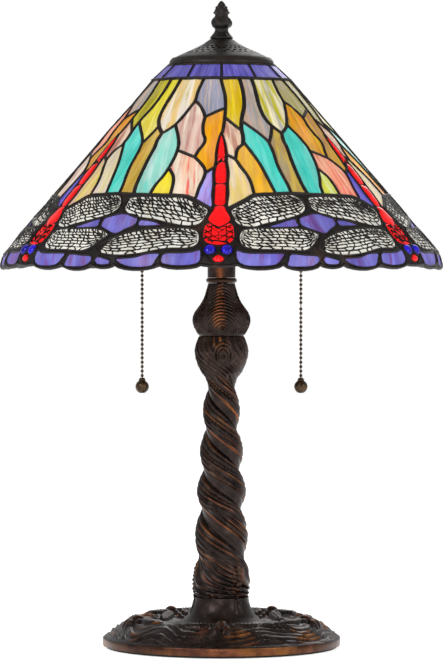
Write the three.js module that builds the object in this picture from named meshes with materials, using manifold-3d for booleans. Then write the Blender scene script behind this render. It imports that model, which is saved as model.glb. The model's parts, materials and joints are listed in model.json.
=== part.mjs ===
// Art-glass table lamp: a leaded cone shade with dragonfly panels, on a twisted bronze stand
// with two pull-chain sockets. Millimetres, +Z up, origin on the floor under the column axis.
import * as THREE from 'three';
import { mergeVertices } from 'three/addons/utils/BufferGeometryUtils.js';
import Module from 'manifold-3d';

const wasm = await Module();
wasm.setup();

// ---------------------------------------------------------------- driving dimensions
const GAP = 0.3; // clearance between neighbouring pieces
const FULL = 2 * Math.PI;

// facets round each kind of turned piece
const WIDE = 36; // base and shade rings
const MIDDLE = 24; // castings of the stand
const SMALL = 16; // sockets, bulbs, finial
const FINE = 10; // rods and chain ends

// base and column
const BASE_RADIUS = 110;
const FELT_RADIUS = 107;
const FELT_TOP = 1.5;
const RECESS_CEILING = 17; // underside of the hub inside the base
const COLUMN_BOTTOM = 46;
const COLUMN_TOP = 287.3;
const ROPE_TOP = 249; // the rope twist ends here and the upper bulge begins
const NECK_TOP = 336.3;
const COLLAR_TOP = 341.2;
const TUBE_TOP = 357.6;

// 1/8 IP lamp pipe and the hexagon nuts on it
const PIPE_RADIUS = 4.8;
const PIPE_BORE = 3;
const PIPE_HOLE = 5.2;
const NUT_RADIUS = 9;

// light cluster
const HUB_RADIUS = 17;
const HUB_BOTTOM = TUBE_TOP + GAP;
const HUB_TOP = 374;
const ARM_RADIUS = 5;
const ARM_LEVEL = 366;
const ARM_BEND = 9;
const SOCKET_OFFSET = 48; // sockets stand this far either side of the axis
const SOCKET_RADIUS = 19;
const SOCKET_BOTTOM = ARM_LEVEL + ARM_BEND + GAP;
const CAP_HEIGHT = 11.7;
const SHELL_BOTTOM = SOCKET_BOTTOM + CAP_HEIGHT + GAP;
const SHELL_TOP = SHELL_BOTTOM + 38.7;
const BULB_BASE_BOTTOM = 399;
const BULB_BASE_TOP = 425;
const BULB_RADIUS = 29;
const BULB_CENTRE = 476;

// pull chains
const CHAIN_OFFSET = 73.4;
const CHAIN_RADIUS = 1.55;
const GUIDE_MOUTH = 384; // lower lip of the bell-mouthed chain guide
const GUIDE_TOP = 406;
const CHAIN_JOINT = 316; // where the lower chain length hinges on the upper one
const SWING_DROP = 2; // free space between a hinge point and the chain below it
const SWING_RISE = 0.8; // and the chain above it
const COUPLER_TOP = 249;
const BALL_RADIUS = 6.2;
const BALL_CENTRE = 240.5;

// shade: outer profile as [radius, height], from the crown down to the lower edge
const SECTORS = 6;
const SECTOR_ANGLE = FULL / SECTORS;
const GLASS = 3;
const CROWN_TOP = [47.5, 538];
const SHOULDER = [64, 523];
const HIP = [198.6, 366]; // the straight cone turns down into the skirt here
const SKIRT_MIDDLE = [202.3, 358];
const SKIRT_BOTTOM = [203.2, 350.3];
const WING_SPLIT = 0.7; // fraction of the cone where the wing band starts
const RIM_BOTTOM = 347;
const RIM_TOP = 349.6;

// shade fittings and finial
const APERTURE_INNER = 41.5;
const APERTURE_OUTER = 45;
const APERTURE_BOTTOM = 534;
const APERTURE_TOP = 539.3;
const WHEEL_HUB = 12;
const CAP_RIM = [47.2, 539.7];
const CAP_TOP = [10.2, 561.9];
const CAP_WALL = 1.4;
const STUD_RADIUS = 3;
const STUD_TOP = 568;
const FINIAL_BOTTOM = 562.3;
const FINIAL_TOP = 597;

// ---------------------------------------------------------------- materials
const finish = (color, roughness, metalness) =>
  new THREE.MeshStandardMaterial({ color, roughness, metalness });
const bronze = finish(0x2f241f, 0.42, 0.85);
const darkBrass = finish(0x5a4630, 0.45, 0.9);
const steel = finish(0x8a8a88, 0.4, 1);
const castIron = finish(0x37373a, 0.7, 0.8);
const lead = finish(0x1e1512, 0.5, 0.8);
const phenolic = finish(0x15120f, 0.5, 0);
const felt = finish(0x1d3a26, 0.95, 0);
const rubber = finish(0x14120f, 0.8, 0);
const bulbGlass = finish(0xf6f2e6, 0.3, 0);
const crownGlass = finish(0x6a64b4, 0.3, 0);
const fieldGlass = finish(0xdcc060, 0.3, 0);
const wingGlass = finish(0xf4efe2, 0.3, 0);
const skirtGlass = finish(0x8c88d8, 0.3, 0);

// ---------------------------------------------------------------- geometry helpers
// A welded geometry with its faces pointing out.
function closed(geometry) {
  geometry.deleteAttribute('normal');
  geometry.deleteAttribute('uv');
  const welded = mergeVertices(geometry, 1e-4);
  const position = welded.attributes.position;
  const index = welded.index.array;
  const [a, b, c] = [new THREE.Vector3(), new THREE.Vector3(), new THREE.Vector3()];
  let volume = 0;
  for (let i = 0; i < index.length; i += 3) {
    a.fromBufferAttribute(position, index[i]);
    b.fromBufferAttribute(position, index[i + 1]);
    c.fromBufferAttribute(position, index[i + 2]);
    volume += a.dot(b.cross(c));
  }
  if (volume < 0) {
    for (let i = 0; i < index.length; i += 3) {
      [index[i + 1], index[i + 2]] = [index[i + 2], index[i + 1]];
    }
  }
  return welded;
}

// A solid turned about the Z axis from [radius, height] points.
function turned(points, segments) {
  const profile = points.map(([radius, height]) => new THREE.Vector2(radius, height));
  return closed(new THREE.LatheGeometry(profile, segments).rotateX(Math.PI / 2));
}

// A turned ring or sleeve: the profile closes on itself.
const sleeve = (points, segments) => turned([...points, points[0]], segments);

const tube = (inner, outer, bottom, top, segments) =>
  sleeve([[inner, bottom], [outer, bottom], [outer, top], [inner, top]], segments);

// Point on the circle of a radius at an azimuth: 0 faces -Y, positive turns towards +X.
const around = (radius, azimuth, height) =>
  new THREE.Vector3(radius * Math.sin(azimuth), -radius * Math.cos(azimuth), height);

// Joins loops of points into one closed skin. Ring lofts return to the first loop.
function loft(loops, isRing) {
  const count = loops[0].length;
  const points = loops.flat();
  const index = [];
  const bands = isRing ? loops.length : loops.length - 1;
  for (let row = 0; row < bands; row += 1) {
    const next = (row + 1) % loops.length;
    for (let i = 0; i < count; i += 1) {
      const j = (i + 1) % count;
      const [a, b] = [row * count + i, row * count + j];
      const [c, d] = [next * count + i, next * count + j];
      index.push(a, b, d, a, d, c);
    }
  }
  if (!isRing) {
    const flat = loops.sectionOutline;
    const last = (loops.length - 1) * count;
    const outlineArea = THREE.ShapeUtils.area(flat);
    for (const corners of THREE.ShapeUtils.triangulateShape(flat, [])) {
      const area = THREE.ShapeUtils.area(corners.map((corner) => flat[corner]));
      const [a, b, c] = area * outlineArea > 0 ? corners : [...corners].reverse();
      index.push(a, c, b, last + a, last + b, last + c);
    }
  }
  const geometry = new THREE.BufferGeometry().setFromPoints(points);
  geometry.setIndex(index);
  return closed(geometry);
}

// Sweeps a [radius, height] outline about Z between two azimuths, or all the way round.
function sector(outline, from, to, steps) {
  const isRing = to - from > FULL - 1e-6;
  const stations = isRing ? steps : steps + 1;
  const loops = [];
  for (let i = 0; i < stations; i += 1) {
    const azimuth = from + ((to - from) * i) / steps;
    loops.push(outline.map(([radius, height]) => around(radius, azimuth, height)));
  }
  loops.sectionOutline = outline.map(([radius, height]) => new THREE.Vector2(radius, height));
  return loft(loops, isRing);
}

// The outline between a profile line and the same line moved inwards, square to its slope.
function shell(line, inward, thickness) {
  const moved = line.map(([radius, height], i) => {
    const [r0, z0] = line[Math.max(i - 1, 0)];
    const [r1, z1] = line[Math.min(i + 1, line.length - 1)];
    const length = Math.hypot(r1 - r0, z1 - z0);
    const across = [(z0 - z1) / length, (r1 - r0) / length];
    const near = [radius - across[0] * inward, height - across[1] * inward];
    return { near, far: [near[0] - across[0] * thickness, near[1] - across[1] * thickness] };
  });
  return [...moved.map(({ near }) => near), ...moved.map(({ far }) => far).reverse()];
}

function solid(geometry) {
  const welded = closed(geometry.clone());
  return new wasm.Manifold(new wasm.Mesh({
    numProp: 3,
    vertProperties: welded.attributes.position.array,
    triVerts: new Uint32Array(welded.index.array),
  }));
}

function geometryOf(manifold) {
  const mesh = manifold.getMesh();
  const geometry = new THREE.BufferGeometry();
  geometry.setAttribute('position', new THREE.BufferAttribute(mesh.vertProperties, 3));
  geometry.setIndex(new THREE.BufferAttribute(mesh.triVerts, 1));
  return geometry;
}

const joined = (...geometries) =>
  geometryOf(geometries.map(solid).reduce((whole, piece) => whole.add(piece)));
const cut = (geometry, ...tools) =>
  geometryOf(tools.map(solid).reduce((rest, tool) => rest.subtract(tool), solid(geometry)));

// An upright cylinder or prism about the Z axis.
const upright = (radius, bottom, top, sides) =>
  new THREE.CylinderGeometry(radius, radius, top - bottom, sides).rotateX(Math.PI / 2)
    .translate(0, 0, (bottom + top) / 2);
const hexNut = (bottom, top) =>
  cut(upright(NUT_RADIUS, bottom, top, 6), upright(PIPE_HOLE, bottom - 1, top + 1, SMALL));

// Linear reading of a value from [height, value] pairs, listed from the bottom up.
function reading(pairs, height) {
  const upper = Math.max(1, pairs.findIndex(([z]) => z >= height));
  const [[z0, v0], [z1, v1]] = [pairs[upper - 1], pairs[upper]];
  return THREE.MathUtils.lerp(v0, v1, THREE.MathUtils.clamp((height - z0) / (z1 - z0), 0, 1));
}

// ---------------------------------------------------------------- assembly
const lamp = new THREE.Group();
function add(name, geometry, material, parent = lamp) {
  const mesh = new THREE.Mesh(geometry, material);
  mesh.name = name;
  parent.add(mesh);
  return mesh;
}

// ---- base
const baseTop = [
  [24.5, COLUMN_BOTTOM], [25.2, 41], [28.5, 33], [37, 24.5], [48, 21.5], [60, 23],
  [70, 28.2], [78, 30], [87, 28], [97, 19.5], [105, 12.5], [BASE_RADIUS, 9],
];
const baseUnderside = [
  [BASE_RADIUS, FELT_TOP + GAP], [104, FELT_TOP + GAP], [104, 8], [95, 14.5], [86, 22.5],
  [78, 25], [70, 23], [60, 18], [44, RECESS_CEILING],
];
const BUSHING_RADIUS = 3;
const BUSHING_LEVEL = 5.6;
const rearward = (geometry) => geometry.rotateX(-Math.PI / 2);
const baseCasting = sleeve([
  [PIPE_HOLE, COLUMN_BOTTOM], ...baseTop, ...baseUnderside, [PIPE_HOLE, RECESS_CEILING],
], WIDE);
const cordHole = new THREE.CylinderGeometry(BUSHING_RADIUS + GAP, BUSHING_RADIUS + GAP, 30, FINE);
cordHole.translate(0, BASE_RADIUS - 3, BUSHING_LEVEL);
add('base_casting', cut(baseCasting, cordHole), bronze);
add('felt_pad', turned([[0, 0], [FELT_RADIUS, 0], [FELT_RADIUS, FELT_TOP], [0, FELT_TOP]], WIDE), felt);

// a rubber bushing lines the cord hole
const bushing = sleeve([
  [1.5, 101], [BUSHING_RADIUS, 101], [BUSHING_RADIUS, 110.4], [3.6, 110.4], [3.6, 111.6], [1.5, 111.6],
], FINE);
add('cord_bushing', rearward(bushing).translate(0, 0, BUSHING_LEVEL), rubber);

const WASHER_TOP = 8.2;
const NUT_TOP = 6.7;
add('base_weight', tube(8, 58, WASHER_TOP + GAP, RECESS_CEILING - GAP, MIDDLE), castIron);
add('lock_washer', tube(PIPE_HOLE, 11, NUT_TOP + GAP, WASHER_TOP, SMALL), steel);
add('base_nut', hexNut(3.4, NUT_TOP), steel);
add('center_rod', tube(PIPE_BORE, PIPE_RADIUS, 2.4, HUB_BOTTOM + 4.8, FINE), steel);

// ---- twisted column: two round strands wound about each other, then a plain bulge
const strandCrest = [
  [COLUMN_BOTTOM, 26.5], [58, 26.9], [103, 23.7], [142, 22.2], [178, 19.4], [220, 16.3], [ROPE_TOP, 14.5],
];
const halfTurns = [[COLUMN_BOTTOM, 3.78], [82, 3], [128, 2], [164, 1], [202, 0], [ROPE_TOP, -1.25]];
const bulge = [
  [ROPE_TOP, 14.5], [254, 18.4], [261, 21.7], [267, 23.6], [273.5, 24.5], [280, 23.2], [COLUMN_TOP, 20.5],
];
const STRAND_SHARE = 0.76; // strand radius as a share of the crest radius
function ropeRadius(height, azimuth) {
  const crest = reading(strandCrest, height);
  const strand = crest * STRAND_SHARE;
  const centre = crest - strand;
  const turn = azimuth - Math.PI * reading(halfTurns, height);
  return centre * Math.abs(Math.cos(turn)) + Math.sqrt(strand ** 2 - (centre * Math.sin(turn)) ** 2);
}
function ringAt(radiusOf, height, count) {
  return Array.from({ length: count }, (_, i) => {
    const azimuth = (FULL * i) / count;
    return around(radiusOf(height, azimuth), azimuth, height);
  });
}
const COLUMN_SIDES = 18;
const columnRings = [];
const ropeSteps = 26;
for (let i = 0; i <= ropeSteps; i += 1) {
  const height = THREE.MathUtils.lerp(COLUMN_BOTTOM + GAP, ROPE_TOP - 4, i / ropeSteps);
  columnRings.push(ringAt(ropeRadius, height, COLUMN_SIDES));
}
for (const [height, radius] of bulge) columnRings.push(ringAt(() => radius, height, COLUMN_SIDES));
// the casting is hollow, with a collar round the pipe at each end
const columnHollow = [
  [PIPE_HOLE, COLUMN_TOP], [PIPE_HOLE, COLUMN_TOP - 3], [18, 275], [9, 252], [9, 180], [14, 120],
  [16, COLUMN_BOTTOM + 4], [PIPE_HOLE, COLUMN_BOTTOM + 4], [PIPE_HOLE, COLUMN_BOTTOM + GAP],
];
for (const [radius, height] of columnHollow) columnRings.push(ringAt(() => radius, height, COLUMN_SIDES));
add('column_casting', loft(columnRings, true), bronze);

// ---- neck
const NECK_BOTTOM = COLUMN_TOP + GAP;
add('neck_casting', sleeve([
  [PIPE_HOLE, NECK_BOTTOM], [20.5, NECK_BOTTOM], [25, 295.4], [26.6, 302], [24.6, 309.5], [18.5, 318],
  [15.1, 325], [12.3, NECK_TOP], [PIPE_HOLE, NECK_TOP], [PIPE_HOLE, NECK_TOP - 3], [10, 322],
  [20.5, 302], [16, NECK_BOTTOM + 3], [PIPE_HOLE, NECK_BOTTOM + 3],
], MIDDLE), bronze);
const COLLAR_MIDDLE = (NECK_TOP + GAP + COLLAR_TOP) / 2;
add('collar_ring', sleeve([
  [PIPE_HOLE, NECK_TOP + GAP], [12.8, NECK_TOP + GAP], [14.35, COLLAR_MIDDLE], [12.8, COLLAR_TOP],
  [PIPE_HOLE, COLLAR_TOP],
], MIDDLE), bronze);
add('neck_tube', tube(11.4, 12.9, COLLAR_TOP + GAP, TUBE_TOP, MIDDLE), bronze);

// ---- light cluster
const LOWER_BORE_TOP = HUB_BOTTOM + 5.1;
const UPPER_BORE_BOTTOM = ARM_LEVEL;
add('cluster_body', sleeve([
  [PIPE_HOLE, HUB_BOTTOM], [13, HUB_BOTTOM], [HUB_RADIUS, HUB_BOTTOM + 3], [HUB_RADIUS, HUB_TOP - 2],
  [14, HUB_TOP], [PIPE_HOLE, HUB_TOP], [PIPE_HOLE, UPPER_BORE_BOTTOM], [PIPE_BORE, UPPER_BORE_BOTTOM],
  [PIPE_BORE, LOWER_BORE_TOP], [PIPE_HOLE, LOWER_BORE_TOP],
], SMALL), darkBrass);
add('riser_nut', hexNut(HUB_TOP + GAP, HUB_TOP + 5), darkBrass);

const circle = new THREE.Shape().absarc(0, 0, ARM_RADIUS, 0, FULL, false);
function armGeometry(side) {
  const path = new THREE.CurvePath();
  const start = new THREE.Vector3(side * (HUB_RADIUS + GAP), 0, ARM_LEVEL);
  const corner = new THREE.Vector3(side * SOCKET_OFFSET, 0, ARM_LEVEL);
  const beforeBend = corner.clone().setX(side * (SOCKET_OFFSET - ARM_BEND));
  const top = corner.clone().setZ(ARM_LEVEL + ARM_BEND);
  path.add(new THREE.LineCurve3(start, beforeBend));
  path.add(new THREE.QuadraticBezierCurve3(beforeBend, corner, top));
  const options = { steps: 8, curveSegments: 6, bevelEnabled: false, extrudePath: path };
  return closed(new THREE.ExtrudeGeometry(circle, options));
}

// a turned socket piece stood over one side's socket axis
const overSocket = (side, geometry) => geometry.translate(side * SOCKET_OFFSET, 0, 0);

function chainGuide(side) {
  const barrel = sleeve([
    [2.6, GUIDE_TOP], [4, GUIDE_TOP], [4, GUIDE_MOUTH + 7], [5.4, GUIDE_MOUTH + 1.5], [5.4, GUIDE_MOUTH],
    [4.4, GUIDE_MOUTH], [2.6, GUIDE_MOUTH + 5],
  ], FINE).translate(side * CHAIN_OFFSET, 0, 0);
  const stemLength = 2.6;
  const stem = new THREE.CylinderGeometry(2.5, 2.5, stemLength, 8).rotateZ(Math.PI / 2);
  stem.translate(side * (SOCKET_OFFSET + SOCKET_RADIUS + GAP + stemLength / 2), 0, GUIDE_TOP - 8);
  const clearBore = upright(2.6, GUIDE_MOUTH - 5, GUIDE_TOP + 5, FINE);
  return cut(joined(barrel, stem), clearBore.translate(side * CHAIN_OFFSET, 0, 0));
}

function socketSet(side, label) {
  add(`socket_arm_${label}`, armGeometry(side), darkBrass);
  const capTop = SOCKET_BOTTOM + CAP_HEIGHT;
  add(`socket_cap_${label}`, overSocket(side, turned([
    [0, SOCKET_BOTTOM], [8, SOCKET_BOTTOM], [15, SOCKET_BOTTOM + 3], [SOCKET_RADIUS, SOCKET_BOTTOM + 8],
    [SOCKET_RADIUS, capTop], [SOCKET_RADIUS - 1.2, capTop], [SOCKET_RADIUS - 1.2, SOCKET_BOTTOM + 8.4],
    [14.4, SOCKET_BOTTOM + 4.3], [0, SOCKET_BOTTOM + 1.6],
  ], SMALL)), darkBrass);
  add(`socket_shell_${label}`, overSocket(side,
    tube(SOCKET_RADIUS - 1.2, SOCKET_RADIUS, SHELL_BOTTOM, SHELL_TOP, SMALL)), darkBrass);
  const seat = SHELL_BOTTOM - 5;
  add(`socket_interior_${label}`, overSocket(side, turned([
    [0, seat], [14, seat], [17, seat + 4], [17, SHELL_TOP - 4], [13.6, SHELL_TOP - 4],
    [13.6, BULB_BASE_BOTTOM + 3], [6, BULB_BASE_BOTTOM - GAP], [0, BULB_BASE_BOTTOM - GAP],
  ], SMALL)), phenolic);
  add(`chain_guide_${label}`, chainGuide(side), darkBrass);
}

function bulb(side, label) {
  add(`bulb_base_${label}`, overSocket(side, turned([
    [0, BULB_BASE_BOTTOM], [5, BULB_BASE_BOTTOM], [12.9, BULB_BASE_BOTTOM + 5.5],
    [12.9, BULB_BASE_TOP], [0, BULB_BASE_TOP],
  ], SMALL)), steel);
  const globe = [[0, BULB_BASE_TOP + GAP], [13.4, BULB_BASE_TOP + GAP], [15, BULB_BASE_TOP + 8]];
  const steps = 7;
  for (let i = 0; i <= steps; i += 1) {
    const angle = THREE.MathUtils.lerp(-0.95, Math.PI / 2, i / steps);
    globe.push([BULB_RADIUS * Math.cos(angle), BULB_CENTRE + BULB_RADIUS * Math.sin(angle)]);
  }
  globe[globe.length - 1][0] = 0;
  add(`bulb_globe_${label}`, overSocket(side, turned(globe, SMALL)), bulbGlass);
}

function pullChain(side, label) {
  const hang = (geometry) => geometry.translate(side * CHAIN_OFFSET, 0, 0);
  const bar = (bottom, top) => hang(turned([
    [0, bottom], [CHAIN_RADIUS, bottom], [CHAIN_RADIUS, top], [0, top],
  ], 8));
  add(`pull_link_${label}`, bar(GUIDE_MOUTH + GAP, GUIDE_TOP - 2), darkBrass);
  add(`pull_chain_${label}`, bar(CHAIN_JOINT + SWING_RISE, GUIDE_MOUTH - SWING_DROP), darkBrass);
  add(`lower_chain_${label}`, bar(COUPLER_TOP + GAP, CHAIN_JOINT - SWING_DROP), darkBrass);
  const ball = [[0, 234.7], [2.8, 234.7]];
  const steps = 5;
  for (let i = 0; i <= steps; i += 1) {
    const angle = THREE.MathUtils.lerp(-1.0, 1.1, i / steps);
    ball.push([BALL_RADIUS * Math.cos(angle), BALL_CENTRE + BALL_RADIUS * Math.sin(angle)]);
  }
  ball.push([3.1, 247], [2.4, COUPLER_TOP], [0, COUPLER_TOP]);
  add(`pull_ball_${label}`, hang(turned(ball, FINE)), darkBrass);
}

for (const [side, label] of [[-1, 'left'], [1, 'right']]) {
  socketSet(side, label);
  bulb(side, label);
  pullChain(side, label);
}

// ---- riser, with the nut that the shade's wheel stands on
const RISER_SHOULDER = 548;
add('riser_rod', sleeve([
  [PIPE_BORE, UPPER_BORE_BOTTOM + GAP], [PIPE_RADIUS, UPPER_BORE_BOTTOM + GAP],
  [PIPE_RADIUS, RISER_SHOULDER], [STUD_RADIUS, RISER_SHOULDER], [STUD_RADIUS, STUD_TOP],
  [1.5, STUD_TOP], [1.5, RISER_SHOULDER - 4],
], FINE), steel);
add('seat_nut', hexNut(APERTURE_BOTTOM - 6, APERTURE_BOTTOM - GAP), darkBrass);

// ---- shade
add('aperture_ring', tube(APERTURE_INNER, APERTURE_OUTER, APERTURE_BOTTOM, APERTURE_TOP, WIDE), darkBrass);

const wheelBottom = APERTURE_BOTTOM;
const wheelTop = APERTURE_TOP - 0.8;
const wheelRimOuter = APERTURE_INNER - GAP;
const spoke = () => new THREE.BoxGeometry(2 * wheelRimOuter - 3, 5, wheelTop - wheelBottom - 1)
  .translate(0, 0, (wheelBottom + wheelTop) / 2);
const wheelHole = upright(5.6, wheelBottom - 1, wheelTop + 1, SMALL);
add('shade_wheel', cut(joined(
  tube(PIPE_HOLE, WHEEL_HUB, wheelBottom, wheelTop, SMALL),
  tube(wheelRimOuter - 4, wheelRimOuter, wheelBottom, wheelTop, MIDDLE),
  spoke(), spoke().rotateZ(Math.PI / 2),
), wheelHole), darkBrass);

const alongCone = (share) =>
  SHOULDER.map((value, i) => THREE.MathUtils.lerp(value, HIP[i], share));
const nearTop = (from, to) => {
  const length = Math.hypot(to[0] - from[0], to[1] - from[1]);
  return from.map((value, i) => value + ((to[i] - value) * GAP) / length);
};
const wingTop = alongCone(WING_SPLIT);
const crownLine = [CROWN_TOP, nearTop(SHOULDER, CROWN_TOP)];
add('crown_glass', sector(shell(crownLine, 0, GLASS), 0, FULL, WIDE), crownGlass);

const sideGap = 0.0035; // radians between neighbouring sectors
const fieldOutline = shell([nearTop(SHOULDER, HIP), wingTop], 0, GLASS);
const wingOutline = shell([nearTop(wingTop, HIP), alongCone(0.985)], 0, GLASS);
const FIELD_STEPS = 6;
for (let i = 0; i < SECTORS; i += 1) {
  const from = (i - 0.5) * SECTOR_ANGLE + sideGap / 2;
  const to = from + SECTOR_ANGLE - sideGap;
  add(`field_glass_${i + 1}`, sector(fieldOutline, from, to, FIELD_STEPS), fieldGlass);
  add(`dragonfly_glass_${i + 1}`, sector(wingOutline, from, to, FIELD_STEPS), wingGlass);
}
const skirtLine = [alongCone(0.988), HIP, SKIRT_MIDDLE, SKIRT_BOTTOM];
add('skirt_glass', sector(shell(skirtLine, 0, GLASS), 0, FULL, WIDE), skirtGlass);
const rimInner = SKIRT_BOTTOM[0] - GLASS;
add('rim_came', tube(rimInner, SKIRT_BOTTOM[0], RIM_BOTTOM, RIM_TOP, WIDE), lead);

// lead lines stand on the outer face of the glass: level rings and one rib over each joint
const LEAD_HEIGHT = 1.1;
const LEAD_HALF_WIDTH = 0.006; // in shares of the cone's length
const leadBand = (from, to) =>
  shell([alongCone(from), alongCone(to)], -GAP - LEAD_HEIGHT, LEAD_HEIGHT);
const rings = [0.02, WING_SPLIT, 0.97].map((share) =>
  sector(leadBand(share - LEAD_HALF_WIDTH, share + LEAD_HALF_WIDTH), 0, FULL, WIDE));
const ribAngle = 0.02;
const ribs = Array.from({ length: SECTORS }, (_, i) => {
  const middle = (i - 0.5) * SECTOR_ANGLE;
  return sector(leadBand(0.02, 0.97), middle - ribAngle / 2, middle + ribAngle / 2, 1);
});
add('lead_frame', joined(...rings, ...ribs), lead);

// ---- heat cap: a thin concave cone with a rolled rim, over the aperture
const capLine = [
  CAP_TOP, [12.5, 560.2], [17.6, 556.6], [25, 552.9], [33.8, 549.1], [41.7, 545.4], [45.8, 542.4], CAP_RIM,
];
const capShell = shell(capLine, 0, CAP_WALL);
const capWithHole = [[STUD_RADIUS + 0.6, CAP_TOP[1]], ...capShell, [STUD_RADIUS + 0.6, CAP_TOP[1] - CAP_WALL]];
add('heat_cap', sleeve(capWithHole, MIDDLE), bronze);

// ---- finial
const FINIAL_BORE = 4.7;
const FINIAL_BORE_TOP = 572;
add('finial', turned([
  [0, FINIAL_BORE_TOP], [FINIAL_BORE, FINIAL_BORE_TOP], [FINIAL_BORE, FINIAL_BOTTOM],
  [10.6, FINIAL_BOTTOM], [9.7, 564.2], [7.9, 566.1], [6.1, 569], [6.5, 571.6], [8.8, 573.5],
  [9.7, 576.3], [8.8, 579], [7.9, 580.9], [6, 583.5], [6.9, 586.4], [6.5, 588.3], [4.2, 592],
  [2.3, 595.4], [0, FINIAL_TOP],
], SMALL), bronze);
add('finial_insert', tube(STUD_RADIUS + GAP, FINIAL_BORE - GAP, FINIAL_BOTTOM + GAP, 570, FINE), darkBrass);

export default lamp;
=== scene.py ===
"""Looks of a leaded-glass table lamp with dragonfly panels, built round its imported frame.

Lengths are millimetres unless a comment says otherwise; around() and MM turn them into metres.
The shade is drawn as a glazier draws it: lead lines and pane outlines on the unrolled cone, in
degrees round the axis (0 faces the front, positive to the right) and millimetres down the slope.
"""

import json
import math
import random

import bmesh
import bpy
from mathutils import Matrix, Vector, noise
from mathutils.geometry import delaunay_2d_cdt


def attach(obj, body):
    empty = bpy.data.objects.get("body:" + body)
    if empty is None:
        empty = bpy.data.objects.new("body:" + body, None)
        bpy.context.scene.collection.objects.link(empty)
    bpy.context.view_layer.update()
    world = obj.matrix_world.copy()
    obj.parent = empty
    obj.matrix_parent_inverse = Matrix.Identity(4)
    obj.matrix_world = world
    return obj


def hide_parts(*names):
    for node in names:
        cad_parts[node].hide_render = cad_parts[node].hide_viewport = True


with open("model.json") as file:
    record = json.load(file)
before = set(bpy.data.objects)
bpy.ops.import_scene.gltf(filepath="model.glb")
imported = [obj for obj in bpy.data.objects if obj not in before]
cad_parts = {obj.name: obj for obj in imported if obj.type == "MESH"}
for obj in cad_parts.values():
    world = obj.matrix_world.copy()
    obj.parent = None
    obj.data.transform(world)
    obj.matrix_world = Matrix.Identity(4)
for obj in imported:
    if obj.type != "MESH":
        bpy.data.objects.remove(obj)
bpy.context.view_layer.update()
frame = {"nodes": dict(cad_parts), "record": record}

MM = 0.001
TAU = 2 * math.pi


# ------------------------------------------------------------------ small helpers
def clamp(value, low=0.0, high=1.0):
    return max(low, min(high, value))


def lerp(a, b, share):
    return a + (b - a) * share


def smooth(edge0, edge1, value):
    x = clamp((value - edge0) / (edge1 - edge0))
    return x * x * (3 - 2 * x)


def reading(pairs, at):
    """Linear reading of a value from (position, value) pairs in rising order."""
    if at <= pairs[0][0]:
        return pairs[0][1]
    for (x0, y0), (x1, y1) in zip(pairs, pairs[1:]):
        if at <= x1:
            return lerp(y0, y1, (at - x0) / (x1 - x0))
    return pairs[-1][1]


def around(radius, degrees, height):
    """A point in metres from a radius, an azimuth and a height in millimetres."""
    angle = math.radians(degrees)
    return Vector((radius * math.sin(angle), -radius * math.cos(angle), height)) * MM


def bent(start, corner, end, u):
    """The place at share u of a curve from start to end that heads for a corner."""
    return (1 - u) ** 2 * start + 2 * u * (1 - u) * corner + u * u * end


def flow_curve(points, step=3.0, closed=False, scale=(2.6, 1.0)):
    """A Catmull-Rom curve through given points, sampled about every step millimetres."""
    points = [Vector(p) for p in points]
    count = len(points)
    spans = count if closed else count - 1
    samples = []

    def pick(i):
        return points[i % count] if closed else points[max(0, min(count - 1, i))]

    for i in range(spans):
        p0, p1, p2, p3 = pick(i - 1), pick(i), pick(i + 1), pick(i + 2)
        length = math.hypot((p2.x - p1.x) * scale[0], (p2.y - p1.y) * scale[1])
        steps = max(1, round(length / step))
        for j in range(steps):
            u = j / steps
            samples.append(0.5 * (2 * p1 + (p2 - p0) * u + (2 * p0 - 5 * p1 + 4 * p2 - p3) * u * u
                                  + (3 * p1 - p0 - 3 * p2 + p3) * u ** 3))
    if not closed:
        samples.append(points[-1])
    return samples


def new_piece(name, vertices, faces, material, sharp_angle=40.0):
    """A mesh object with smooth shading that keeps edges over sharp_angle degrees crisp."""
    mesh = bpy.data.meshes.new(name)
    mesh.from_pydata([tuple(v) for v in vertices], [], faces)
    mesh.validate()
    mesh.shade_smooth()
    mesh.set_sharp_from_angle(angle=math.radians(sharp_angle))
    piece = bpy.data.objects.new(name, mesh)
    bpy.context.scene.collection.objects.link(piece)
    mesh.materials.append(material)
    return piece


def settle(piece, body, slot, *nodes):
    """Says which body a piece rides on and hides the frame nodes that it stands for; slot, its finish, is not
    used.
    """
    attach(piece, body)
    if nodes:
        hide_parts(*nodes)


class Build:
    """Collects closed islands of mesh, with a colour and a number per vertex when given."""

    def __init__(self):
        self.vertices, self.faces, self.layers = [], [], {}

    def island(self, vertices, faces, **values):
        start = len(self.vertices)
        self.vertices += vertices
        self.faces += [tuple(start + i for i in face) for face in faces]
        for name, value in values.items():
            layer = self.layers.setdefault(name, [])
            layer += value if isinstance(value, list) else [value] * len(vertices)
        return start

    def piece(self, name, material, sharp_angle=40.0):
        made = new_piece(name, self.vertices, self.faces, material, sharp_angle)
        for layer, values in self.layers.items():
            kind = "FLOAT" if isinstance(values[0], float) else "FLOAT_VECTOR"
            attribute = made.data.attributes.new(layer, kind, "POINT")
            for item, value in zip(attribute.data, values):
                if kind == "FLOAT":
                    item.value = value
                else:
                    item.vector = value
        return made


def ring_faces(rows, count, close_rows=False):
    """Quads joining rows of count points each."""
    faces = []
    for row in range(rows if close_rows else rows - 1):
        below = (row + 1) % rows
        for i in range(count):
            j = (i + 1) % count
            faces.append((row * count + i, row * count + j, below * count + j, below * count + i))
    return faces


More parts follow.
